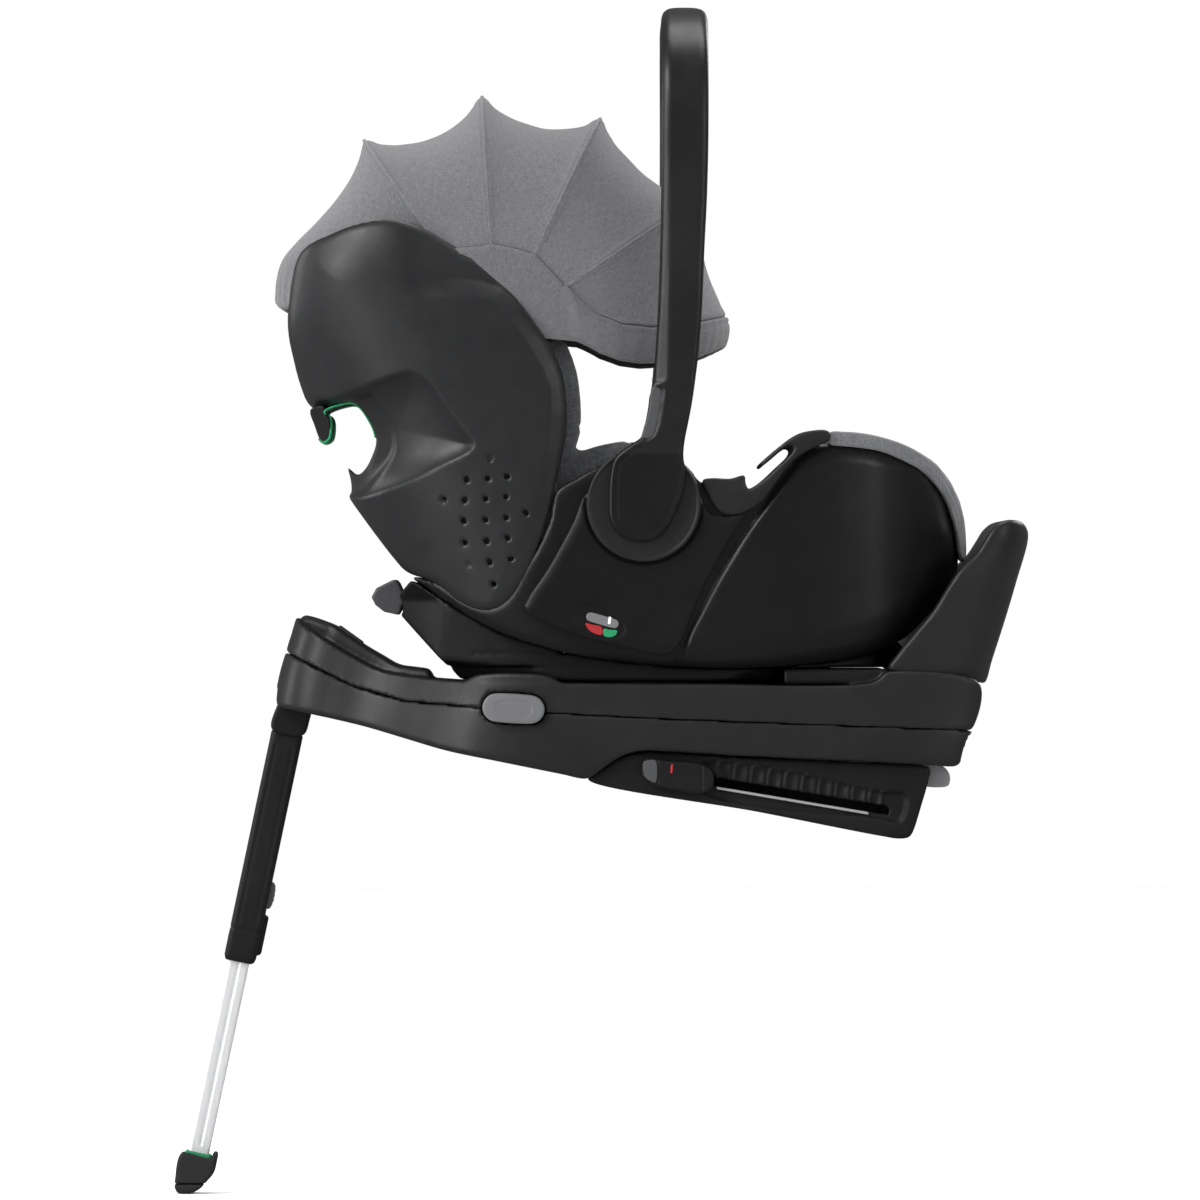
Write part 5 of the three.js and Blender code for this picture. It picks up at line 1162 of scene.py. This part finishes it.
SEGS = [
    ("canopy_back_cloth", 0, 172.8, 124.2, None, "canopy_skin_back"),
    ("canopy_rear_cloth", 1, 124.2, 93.8, ("carrier", "canopy_2"), "canopy_skin_rear"),
    ("canopy_top_cloth", 2, 93.8, 64.9, ("canopy_2", "canopy_3"), "canopy_skin_top"),
    ("canopy_front_cloth", 3, 64.9, 34.5, ("canopy_3", "canopy_4"), "canopy_skin_front"),
    ("canopy_visor_cloth", 4, 34.5, 4.0, ("canopy_4", "visor"), "canopy_visor"),
]
TOP_R, TOP_DEG = np.array([60, 76, 82, 83.5, 85.5, 89, 95, 104.6, 123, 153, 203, 232]), np.array([36, 36, 35.5, 33.7, 27, 21.1, 15, 9.9, 4.6, 2.6, 3.9, 5.2])
BOT_R, BOT_DEG = np.array([60, 74, 105, 126, 146, 201, 223, 232]), np.array([0, -3.9, -10.4, -12, -11.5, -6.6, -3.3, -2.0])


def bend(ob):
    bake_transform(ob)


for name, seg, d0, d1, bodies, cad in SEGS:
    na, nt_, ns = (56 if seg == 0 else 44), 110, 12
    degs = np.linspace(d0, d1, na)
    if seg == 0:
        n = 2.6 + 2.2 * smooth((degs - 130) / 34)
        c = spline(PROFILE[0], False, 0.7)
        c = c[np.argsort(c[:, 0])]
        R = np.interp(degs, c[:, 0], c[:, 1])
        rmin = 0.40 * R + (np.interp(degs, SHELL_A, SHELL_R) - 17.0 + 9.0 * smooth((degs - 158) / 14) - 0.40 * R) * smooth((degs - 138) / 22)
        rmin = np.minimum(rmin, R * 0.985)
        tl = t_at(degs, rmin, R, n)
        T = tl[:, None] + (math.pi - 2 * tl[:, None]) * np.linspace(0, 1, nt_)[None]
        P, r = canopy_point(0, np.repeat(degs[:, None], nt_, 1), T)
        hem = 1.6 * np.exp(-((degs - 171.0) / 1.6) ** 2)[:, None] + 0 * T  # the gathered elastic hem
        hem = hem + 0.7 * np.sin(T * 46) * smooth((degs - 160) / 10)[:, None]
        me, la, lb_ = sheet_mesh(name, P, 1.4, hem)
        ob = finish_piece(link(name, me), "carrier", M["canopy"], (cad,), (M["strip"],))
        continue
    # panel between the two side seams, with the side strips below them
    sr = np.interp(degs, SEAM_DEG, SEAM_R)
    c = spline(PROFILE[seg], False, 0.7)
    c = c[np.argsort(c[:, 0])]
    ts = t_at(degs, sr, np.array([240.0] * na), 2.6)
    u = np.linspace(0, 1, nt_)
    u = 0.5 - 0.5 * np.cos(math.pi * (0.12 + 0.76 * u))
    u = (u - u[0]) / (u[-1] - u[0])
    T = ts[:, None] + (math.pi - 2 * ts[:, None]) * u[None]
    D = np.repeat(degs[:, None], nt_, 1)
    if seg == 4:  # its front edge dips along the sides
        rr = 228 * np.abs(np.sin(T)) ** (2 / 2.6)
        end = np.interp(rr, TOP_R, TOP_DEG)
        D = d0 + (end - d0) * np.linspace(0, 1, na)[:, None]
    P, r = canopy_point(seg, D, T)
    tau = np.linspace(0, 1, na)[:, None]
    stitch = 1.3 * (np.exp(-((tau - 0.035) / 0.03) ** 2) + np.exp(-((tau - 0.965) / 0.03) ** 2)) - 1.0 * (np.exp(-((tau - 0.0) / 0.012) ** 2) + np.exp(-((tau - 1.0) / 0.012) ** 2))
    k = np.abs(np.sin(np.arange(nt_) * 1.35))[None]
    me, la, lb_ = sheet_mesh(name, P, 1.3, stitch * (0.55 + 0.45 * k) + 0 * T)
    ob = finish_piece(link(name, me), None, M["canopy"], (cad,))
    bend(ob)
    for sgn, side in ((1, "left"), (-1, "right")):
        sd_ = np.linspace(d0, d1 if seg != 4 else -5.0, na)
        sr2 = np.interp(sd_, SEAM_DEG, SEAM_R)
        tt = t_at(sd_, sr2 + 0.6, np.full(na, 240.0), 2.6)
        t_in = t_at(sd_, np.full(na, 14.0), np.full(na, 240.0), 2.6)
        T2 = t_in[:, None] + (tt - t_in)[:, None] * np.linspace(0, 1, ns)[None]
        P2, _ = canopy_point(seg, np.repeat(sd_[:, None], ns, 1), T2)
        P2[..., 1] *= sgn
        w = np.linspace(0, 1, ns)[None] + 0 * T2
        lift = 1.6 + 1.5 * np.exp(-((w - 0.94) / 0.06) ** 2) - 0.9 * np.exp(-((w - 0.80) / 0.05) ** 2)
        nm = f"{name.replace('_cloth', '')}_strip_{side}"
        me2, la2, lb2 = sheet_mesh(nm, P2, 0.4, lift)
        o2 = finish_piece(link(nm, me2), None, M["strip"], ())
        bend(o2)

# padded elastic hem round the visor's edge
t0 = float(t_at(0, 64, 228, 2.6))
T = t0 + (math.pi - 2 * t0) * (0.5 - 0.5 * np.cos(np.linspace(0, math.pi, 210)) * (1 - 0.35 * np.sin(np.linspace(0, math.pi, 210)) ** 2))
rr = 228 * np.abs(np.sin(T)) ** (2 / 2.6)
top, bot = np.interp(rr, TOP_R, TOP_DEG), np.interp(rr, BOT_R, BOT_DEG)
w = np.linspace(0, 1, 14)[:, None]
D = top[None] + (bot - top)[None] * w
P, _ = canopy_point(4, D, np.repeat(T[None], 14, 0))
P[..., 1] *= 1.004
lift = 1.9 + 2.6 * np.sqrt(np.clip(1 - (2 * w - 1) ** 2, 0, 1)) + 0.25 * np.sin(T * 60)[None] - 1.5 * np.exp(-((w - 0.17) / 0.05) ** 2)
lift = 0.9 + (lift - 0.9 + 0.4) * smooth((rr[None] - 71) / 12)
me, la, lb_ = sheet_mesh("canopy_visor_hem", P, 2.2, lift)
ob = finish_piece(link("canopy_visor_hem", me), "visor", M["strip"], ())

# rib sleeves: a stitched casing over each wire
for i, (dg, body) in enumerate(zip(RIB_DEG, ("carrier", "canopy_2", "canopy_3", "canopy_4"))):
    t = np.linspace(t_at(0, 16, 240, 2.6), math.pi - t_at(0, 16, 240, 2.6), 150)
    P, r = canopy_point(i + 1, np.full_like(t, dg), t)
    rad = 1.9 + 0.12 * np.sin(np.arange(150) * 2.1)
    out = P - np.array([PX, 0, PZ])
    out /= np.linalg.norm(out, axis=1)[:, None]
    cco, cq = tube(P - out * 0.6, rad, 10)
    nm = f"canopy_rib_sleeve_{i + 1}"
    me = new_mesh(nm, cco, cq)
    outward(me)
    finish_piece(link(nm, me), body, M["foot_trim"], (f"canopy_rib_{i + 1}",))

# ---- soft goods inside the carrier -----------------------------------------------------------------------------------------
def puff(ob, cap, pin=None, frames=14, pressure=4.0):
    """Swells a pad by cloth pressure, holds its seams, and caps how far a point moves (mm)."""
    me = ob.data
    n = len(me.vertices)
    rest = np.empty(n * 3, np.float32)
    me.vertices.foreach_get("co", rest)
    rest = rest.reshape(-1, 3)
    if pin is not None:
        g = ob.vertex_groups.new(name="pin")
        for lv in (0.4, 1.0):
            ids = np.flatnonzero((pin > lv - 0.3) & (pin <= lv + 0.3)).tolist()
            if ids:
                g.add(ids, lv, "REPLACE")
    mod = ob.modifiers.new("puff", "CLOTH")
    st = mod.settings
    st.quality = 4
    st.mass = 0.3
    st.tension_stiffness = st.compression_stiffness = 12
    st.shear_stiffness = 4
    st.bending_stiffness = 0.6
    st.use_pressure = True
    st.uniform_pressure_force = pressure
    st.effector_weights.gravity = 0
    mod.collision_settings.use_collision = False
    if pin is not None:
        st.vertex_group_mass = "pin"
        st.pin_stiffness = 1.0
    mod.point_cache.frame_start = 1
    mod.point_cache.frame_end = frames + 2
    sc = bpy.context.scene
    for k in range(1, frames + 1):
        sc.frame_set(k)
    ev = ob.evaluated_get(bpy.context.evaluated_depsgraph_get())
    co = np.empty(n * 3, np.float32)
    ev.data.vertices.foreach_get("co", co)
    co = co.reshape(-1, 3)
    d = co - rest
    L = np.linalg.norm(d, axis=1, keepdims=True)
    d *= np.minimum(1, (cap / 1000) / np.maximum(L, 1e-9))
    ob.modifiers.remove(mod)
    sc.frame_set(1)
    me.vertices.foreach_set("co", (rest + d).astype(np.float32).ravel())
    me.update()
    ob.vertex_groups.clear()
    sub = ob.modifiers.new("fine", "SUBSURF")
    sub.levels = sub.render_levels = 1
    dg = bpy.context.evaluated_depsgraph_get()
    fine = bpy.data.meshes.new_from_object(ob.evaluated_get(dg))
    ob.modifiers.remove(sub)
    old = ob.data
    ob.data = fine
    fine.name = old.name
    bpy.data.meshes.remove(old)
    ob.data.polygons.foreach_set("use_smooth", np.full(len(ob.data.polygons), True))
    return ob


def seam_cut(ob, dist_fn, width=2.6, depth=2.2):
    """Presses stitched seams into a finished pad."""
    me = ob.data
    n = len(me.vertices)
    co = np.empty(n * 3, np.float32)
    no = np.empty(n * 3, np.float32)
    me.vertices.foreach_get("co", co)
    me.vertices.foreach_get("normal", no)
    co, no = co.reshape(-1, 3), no.reshape(-1, 3)
    d = dist_fn(co * 1000)
    co = co - no * (depth / 1000 * np.exp(-((d / width) ** 2)))[:, None]
    me.vertices.foreach_set("co", co.astype(np.float32).ravel())
    me.update()


def soft(name, vol, f, body, material, nodes, cap, seams=None, width=2.8, depth=2.0):
    p, q = surface(vol, f, 2)
    me = new_mesh(name, p, q)
    ob = link(name, me)
    pin = None
    if seams is not None:
        d = seams(p)
        pin = np.where(d < vol.h * 0.8, 1.0, np.where(d < vol.h * 1.6, 0.4, 0.0))
    puff(ob, cap, pin)
    if seams is not None:
        seam_cut(ob, seams, width, depth)
    finish_piece(ob, body, material, nodes)
    return ob


def uv_of(p):
    return p[:, 0] / G + U0, V0 - p[:, 2] / G


def path_dist(pts):
    """Distance along a drawn line, at the point of it nearest each vertex, for seams that run across a pad."""
    q = np.array(pts, float)
    seg = np.linalg.norm(np.diff(q, axis=0), axis=1)
    cum = np.concatenate([[0], np.cumsum(seg)])
    def fn(p):
        u, v_ = uv_of(p)
        best = np.full(len(p), 1e9)
        s = np.zeros(len(p))
        for i in range(len(q) - 1):
            a, b = q[i], q[i + 1]
            e = b - a
            t = np.clip(((u - a[0]) * e[0] + (v_ - a[1]) * e[1]) / (e @ e), 0, 1)
            d = np.hypot(u - a[0] - t * e[0], v_ - a[1] - t * e[1])
            s = np.where(d < best, cum[i] + t * seg[i], s)
            best = np.minimum(best, d)
        return s * G
    return fn


# cover over the foam liner, up to the shell's edge
v = Vol(296, 952, 236, 652, -188, 188, 3.2)
sd = v.side(FOAM_OUT)
_, relief = head_relief(v)
outer = both(v.plan(HEAD_PLAN, -0.45, 335), v.plan(FOOT_PLAN, 0, 500), 3)
lower_roll = 15 * smooth((v.v - 565) / 55)
f = both(sd, outer + 6.5 + np.clip(relief, 0, 22) * (v.u < 575) + lower_roll, 5)
f = both(f, v.ay - 158 - 26 * smooth((v.v - 350) / 30), 4)
f = cut(f, both(v.side(FOAM_IN), outer + 4 + 38, 10), 7)
f = cut(f, v.side(CHANNEL) - 5, 3)
f = np.maximum(f, np.where((v.v < 336), np.hypot(v.x - PX, v.z - PZ) - (196 - 0.00022 * v.ay ** 2.05), -50))
lin = moulded("liner_cover", v, f, "carrier", M["liner"], "foam_liner", 3)
lin = bpy.data.objects["liner_cover"]
lin.data.materials.append(M["cover_dark"])
cen = np.empty(len(lin.data.polygons) * 3, np.float32)
lin.data.polygons.foreach_get("center", cen)
cen = cen.reshape(-1, 3) * 1000
cu, cv = uv_of(cen)
low_part = (cu > 584) | (cv > 466) | ((cv > 432) & (cu > 578))
lin.data.polygons.foreach_set("material_index", low_part.astype(np.int32))
del outer, relief

back_line = path_dist([(345, 290), (352, 330), (385, 350), (415, 376), (434, 410), (438, 440), (432, 480), (430, 505), (455, 530), (500, 556)])
v = Vol(322, 512, 272, 574, -126, 126, 5.0)
f = both(both(v.side(BACK_PAD) + 3.0, v.ay - 118, 14), v.plan(HEAD_PLAN, -0.45, 335) + 45, 10)
def back_seams(p):
    s = back_line(p)
    a = np.abs(((s - 95) % 62) - 31)
    inner = np.abs(np.abs(p[:, 1]) - 74)
    return np.where(np.abs(p[:, 1]) < 74, np.minimum(a, inner), inner)
soft("back_pad_cushion", v, f, "carrier", M["cover"], "back_pad", 5, back_seams)

seat_line = path_dist([(500, 560), (560, 580), (640, 598), (720, 603), (790, 598), (840, 584), (880, 556), (898, 525)])
v = Vol(482, 918, 504, 630, -126, 126, 5.0)
f = both(both(v.side(SEAT_PAD) + 3.0, v.ay - 118, 14), v.plan(FOOT_PLAN, 0, 500) + 54, 12)
f = cut(f, both(np.abs(v.x - X(686)) - 13.6, v.ay - 21, 4), 5)
f = cut(f, both(both(np.abs(v.x - X(784.5)) - 11.5, v.ay - 16, 3), v.v - 597, 2), 4)
def seat_seams(p):
    s = seat_line(p)
    a = np.abs(((s - 30) % 72) - 36)
    inner = np.abs(np.abs(p[:, 1]) - 78)
    return np.where(np.abs(p[:, 1]) < 78, np.minimum(a, inner), inner)
soft("seat_pad_cushion", v, f, "carrier", M["cover"], "seat_pad", 4, seat_seams)

# side wings of the cover
v = Vol(345, 875, 248, 618, -152, -120, 4.0)
f = both(v.side(BOLSTER) + 3.0, v.slab(-147.5, -126.5), 8)
f = both(f, both(v.plan(HEAD_PLAN, -0.45, 335), v.plan(FOOT_PLAN, 0, 500), 3) + 44.5, 6)
p0, q0 = surface(v, f, 2)
bl = path_dist([(360, 300), (420, 330), (480, 380), (510, 440), (560, 500), (640, 520), (760, 540), (860, 500)])
for side in ("left",):
    me = new_mesh("side_wing_left", p0, q0)
    ob = link("side_wing_left", me)
    edge_d = lambda p: np.abs(((bl(p)) % 95) - 47.5)
    d = edge_d(p0)
    puff(ob, 3.5, np.where(d < 3.2, 1.0, np.where(d < 6.4, 0.4, 0.0)))
    seam_cut(ob, edge_d, 2.6, 1.6)
    finish_piece(ob, "carrier", M["cover"], ("side_bolster_left",))
twin = bpy.data.meshes.new("side_wing_right")
n = len(ob.data.vertices)
co = np.empty(n * 3, np.float32)
ob.data.vertices.foreach_get("co", co)
pq = np.empty(len(ob.data.loops), np.int32)
ob.data.loops.foreach_get("vertex_index", pq)
co = co.reshape(-1, 3) * [1, -1, 1]
twin = new_mesh("side_wing_right", co * 1000, pq.reshape(-1, 4)[:, ::-1])
o2 = finish_piece(link("side_wing_right", twin), "carrier", M["cover"], ("side_bolster_right",))

# headrest with its two wings
v = Vol(352, 524, 258, 416, -126, 126, 4.0)
f = both(v.side([(368, 272), (396, 269), (434, 290), (474, 322), (501, 350), (511, 373), (503, 395), (488, 404), (471, 395), (455, 393), (450, 379), (427, 350), (402, 329), (376, 314), (366, 305)]), v.ay - 117.5, 11)
f = cut(f, both(v.side([(374, 240), (392, 301), (430, 331), (461, 366), (480, 420), (560, 420), (560, 240)]), v.ay - 97, 12), 9)
f = both(f, v.plan(HEAD_PLAN, -0.45, 335) + 53, 6)
hl = path_dist([(380, 290), (430, 320), (470, 360), (485, 400)])
def head_seams(p):
    a = np.abs(np.abs(p[:, 1]) - 95)
    b = np.where(np.abs(p[:, 1]) < 95, np.abs(((hl(p) + 8) % 46) - 23), 50)
    return np.minimum(a + 0.0, b)
soft("headrest_cushion", v, f, "headrest", M["cover"], "headrest", 4, head_seams)


# harness webbing with folded edges, shoulder pads, buckle and adjuster
def webbing(name, pts, width, thick, body, nodes, material="web"):
    c = np.array(pts, float)
    s = spline(np.stack([c[:, 0], c[:, 1]], 1), False, 3)
    yy = spline(np.stack([c[:, 0] * 0 + np.arange(len(c)) * 10.0, c[:, 2]], 1), False, 0.5)
    k = np.linspace(0, 1, len(s))
    y = np.interp(k, np.linspace(0, 1, len(yy)), yy[:, 1])
    P = np.stack([X(s[:, 0]), y, Z(s[:, 1])], 1)
    cco, cq = tube(P, 1.0, 20, squash_y=(0, 1, 0), flat=(width / 2, thick / 2))
    me = new_mesh(name, cco, cq)
    outward(me)
    return finish_piece(link(name, me), body, M[material], nodes)


for side, sg in (("left", -1), ("right", 1)):
    pts = [(456, 424, 46), (478, 444, 46), (494, 470, 47), (516, 500, 46), (546, 524, 40), (580, 538, 32), (604, 541, 28)]
    webbing(f"shoulder_webbing_{side}", [(a, b, sg * c) for a, b, c in pts], 36, 2.2, "carrier", (f"shoulder_strap_{side}",))
    pad_pts = [(462, 430, 46), (478, 444, 46), (494, 470, 47), (512, 495, 46), (528, 510, 43)]
    v = Vol(446, 548, 414, 530, 18, 74, 2.6)
    cl = spline([(a, b) for a, b, c in pad_pts], False, 3)
    d = line_dist(np.stack([X(cl[:, 0]), Z(cl[:, 1])], 1), v.x[:, :, 0], v.z[:, 0, :])[:, None, :]
    f = both(d - 6.2, np.abs(v.y - 45.5) - 22, 5)
    p, q = surface(v, f, 2)
    if sg < 0:
        p, q = p * [1, -1, 1], q[:, ::-1]
    nm = f"shoulder_pad_{side}"
    me = new_mesh(nm, p, q)
    ob = link(nm, me)
    puff(ob, 2.5, None, 8)
    seam_cut(ob, lambda p: np.abs(np.abs(np.abs(p[:, 1]) - 45.5) - 16), 1.4, 0.9)
    finish_piece(ob, "carrier", M["cover_dark"], ())
webbing("crotch_webbing", [(686, 583, 0), (676, 570, 0), (664, 560, 0), (652, 551, 0)], 38, 2.6, "carrier", ("crotch_strap",))
v = Vol(606, 660, 516, 562, -26, 26, 0.9)
f = both(v.side([(611, 527), (616, 523), (623, 522), (646, 532), (654, 539), (655, 545), (651, 553), (640, 556), (618, 546), (611, 540), (609.5, 533)], True, 2), v.ay - 23.6 + 3.0 * smooth((v.u - 628) / 26), 4.5)
f = cut(f, both(v.side([(619, 510), (640, 518.5), (635.8, 536.2), (614.6, 527.8)], False), v.ay - 12.3, 1.2), 0.8)
moulded("buckle_housing", v, f, "carrier", M["black"], "buckle", 1)
v = Vol(615, 642, 515, 535, -13, 13, 0.7)
f = both(v.side([(620.4, 519.6), (638.4, 526.9), (637, 531.2), (619, 523.9)], True, 1), v.ay - 11.2, 1.8)
f = f + 0.5 * np.exp(-((v.y / 4.0) ** 2)) * 0
moulded("buckle_release", v, f, "buckle_button", M["red"], "buckle_button", 1)
v = Vol(772, 798, 576, 595, -15, 15, 0.8)
f = both(v.side([(776.4, 583.6), (791.8, 580.6), (793.3, 588), (777.6, 590.8)], True, 2), v.ay - 12.8, 2.0)
moulded("adjuster_cap", v, f, "adjuster", M["grey"], "harness_adjuster_button", 1)
v = Vol(764, 806, 572, 606, -24, 24, 1.0)
f = both(v.side([(771, 588), (776, 582), (792, 578.5), (798, 582), (799, 592), (794, 598), (776, 600), (771, 595)], True, 2), v.ay - 18, 3)
f = cut(f, both(v.side([(775.0, 560), (793.4, 560), (795.8, 604), (776.6, 607)], False), v.ay - 13.9, 1.0), 0.8)
moulded("adjuster_bezel", v, f, "carrier", M["dark"], (), 1)

# ---- stage, light and world ----------------------------------------------------------------------------------------------
scene = bpy.context.scene
scene.view_settings.view_transform = "Standard"
scene.view_settings.look = "None"
floor_z = CAD_BOX[0][2] * 1000 - 0.6
fm, nt, b = tree("studio floor")
fn = noise(nt, nt.nodes.new("ShaderNodeTexCoord").outputs["Object"], 3.0, 3)
nt.links.new(ramp(nt, fn, [(0.3, (0.93, 0.93, 0.935)), (0.7, (0.955, 0.955, 0.955))]), b.inputs["Base Color"])
b.inputs["Roughness"].default_value = 0.9
b.inputs["Specular IOR Level"].default_value = 0.1
ang = np.linspace(0, 2 * math.pi, 97)[:-1]
rad = [0.01, 2000, 6000, 16000]
co = np.array([(CX * 1000 + r * math.cos(a), r * math.sin(a), floor_z) for r in rad for a in ang])
qd = [(k * 96 + i, k * 96 + (i + 1) % 96, (k + 1) * 96 + (i + 1) % 96, (k + 1) * 96 + i) for k in range(3) for i in range(96)]
floor = link("floor", new_mesh("floor", co, np.array(qd)[:, ::-1]))
floor.data.materials.append(fm)
floor.visible_glossy = False

world = bpy.data.worlds.new("studio")
scene.world = world
world.use_nodes = True
nt = world.node_tree
nt.nodes.clear()
wo = nt.nodes.new("ShaderNodeOutputWorld")
cam_bg = nt.nodes.new("ShaderNodeBackground")
cam_bg.inputs[0].default_value = (1, 1, 1, 1)
cam_bg.inputs[1].default_value = 1.0
amb = nt.nodes.new("ShaderNodeBackground")
amb.inputs[0].default_value = (1, 1, 1, 1)
amb.inputs[1].default_value = 1.10
dim = nt.nodes.new("ShaderNodeBackground")
dim.inputs[0].default_value = (1, 1, 1, 1)
dim.inputs[1].default_value = 0.16
lpn = nt.nodes.new("ShaderNodeLightPath")
mg = nt.nodes.new("ShaderNodeMixShader")
nt.links.new(lpn.outputs["Is Glossy Ray"], mg.inputs[0])
nt.links.new(amb.outputs[0], mg.inputs[1])
nt.links.new(dim.outputs[0], mg.inputs[2])
mx = nt.nodes.new("ShaderNodeMixShader")
nt.links.new(lpn.outputs["Is Camera Ray"], mx.inputs[0])
nt.links.new(mg.outputs[0], mx.inputs[1])
nt.links.new(cam_bg.outputs[0], mx.inputs[2])
nt.links.new(mx.outputs[0], wo.inputs[0])


def area(name, loc, target, size, power, size_y=None):
    li = bpy.data.lights.new(name, "AREA")
    li.energy = power
    li.size = size
    if size_y:
        li.shape = "RECTANGLE"
        li.size_y = size_y
    ob = bpy.data.objects.new(name, li)
    ob.location = loc
    from mathutils import Vector
    ob.rotation_euler = (Vector(target) - Vector(loc)).to_track_quat("-Z", "Y").to_euler()
    scene.collection.objects.link(ob)
    return ob


area("key", (-2.8, -2.2, 2.8), (-0.4, 0, 0.25), 1.5, 74, 1.5)
area("top", (0.1, 0.4, 3.4), (-0.25, 0, 0.2), 2.4, 46, 1.6)
area("front fill", (0.6, -4.2, 0.9), (-0.3, 0, 0.1), 2.4, 7, 2.0).visible_glossy = False
area("back rim", (1.9, 2.8, 2.0), (-0.3, 0, 0.3), 1.4, 42, 1.4)
area("left rim", (-3.4, 0.8, 0.8), (-0.5, 0, 0.2), 0.8, 20, 1.8)

area("left softbox", (-3.3, -2.3, 0.75), (-0.5, 0, 0.15), 1.1, 46, 2.0)
area("right softbox", (2.4, -2.6, 1.3), (-0.1, 0, 0.15), 0.9, 16, 1.6)
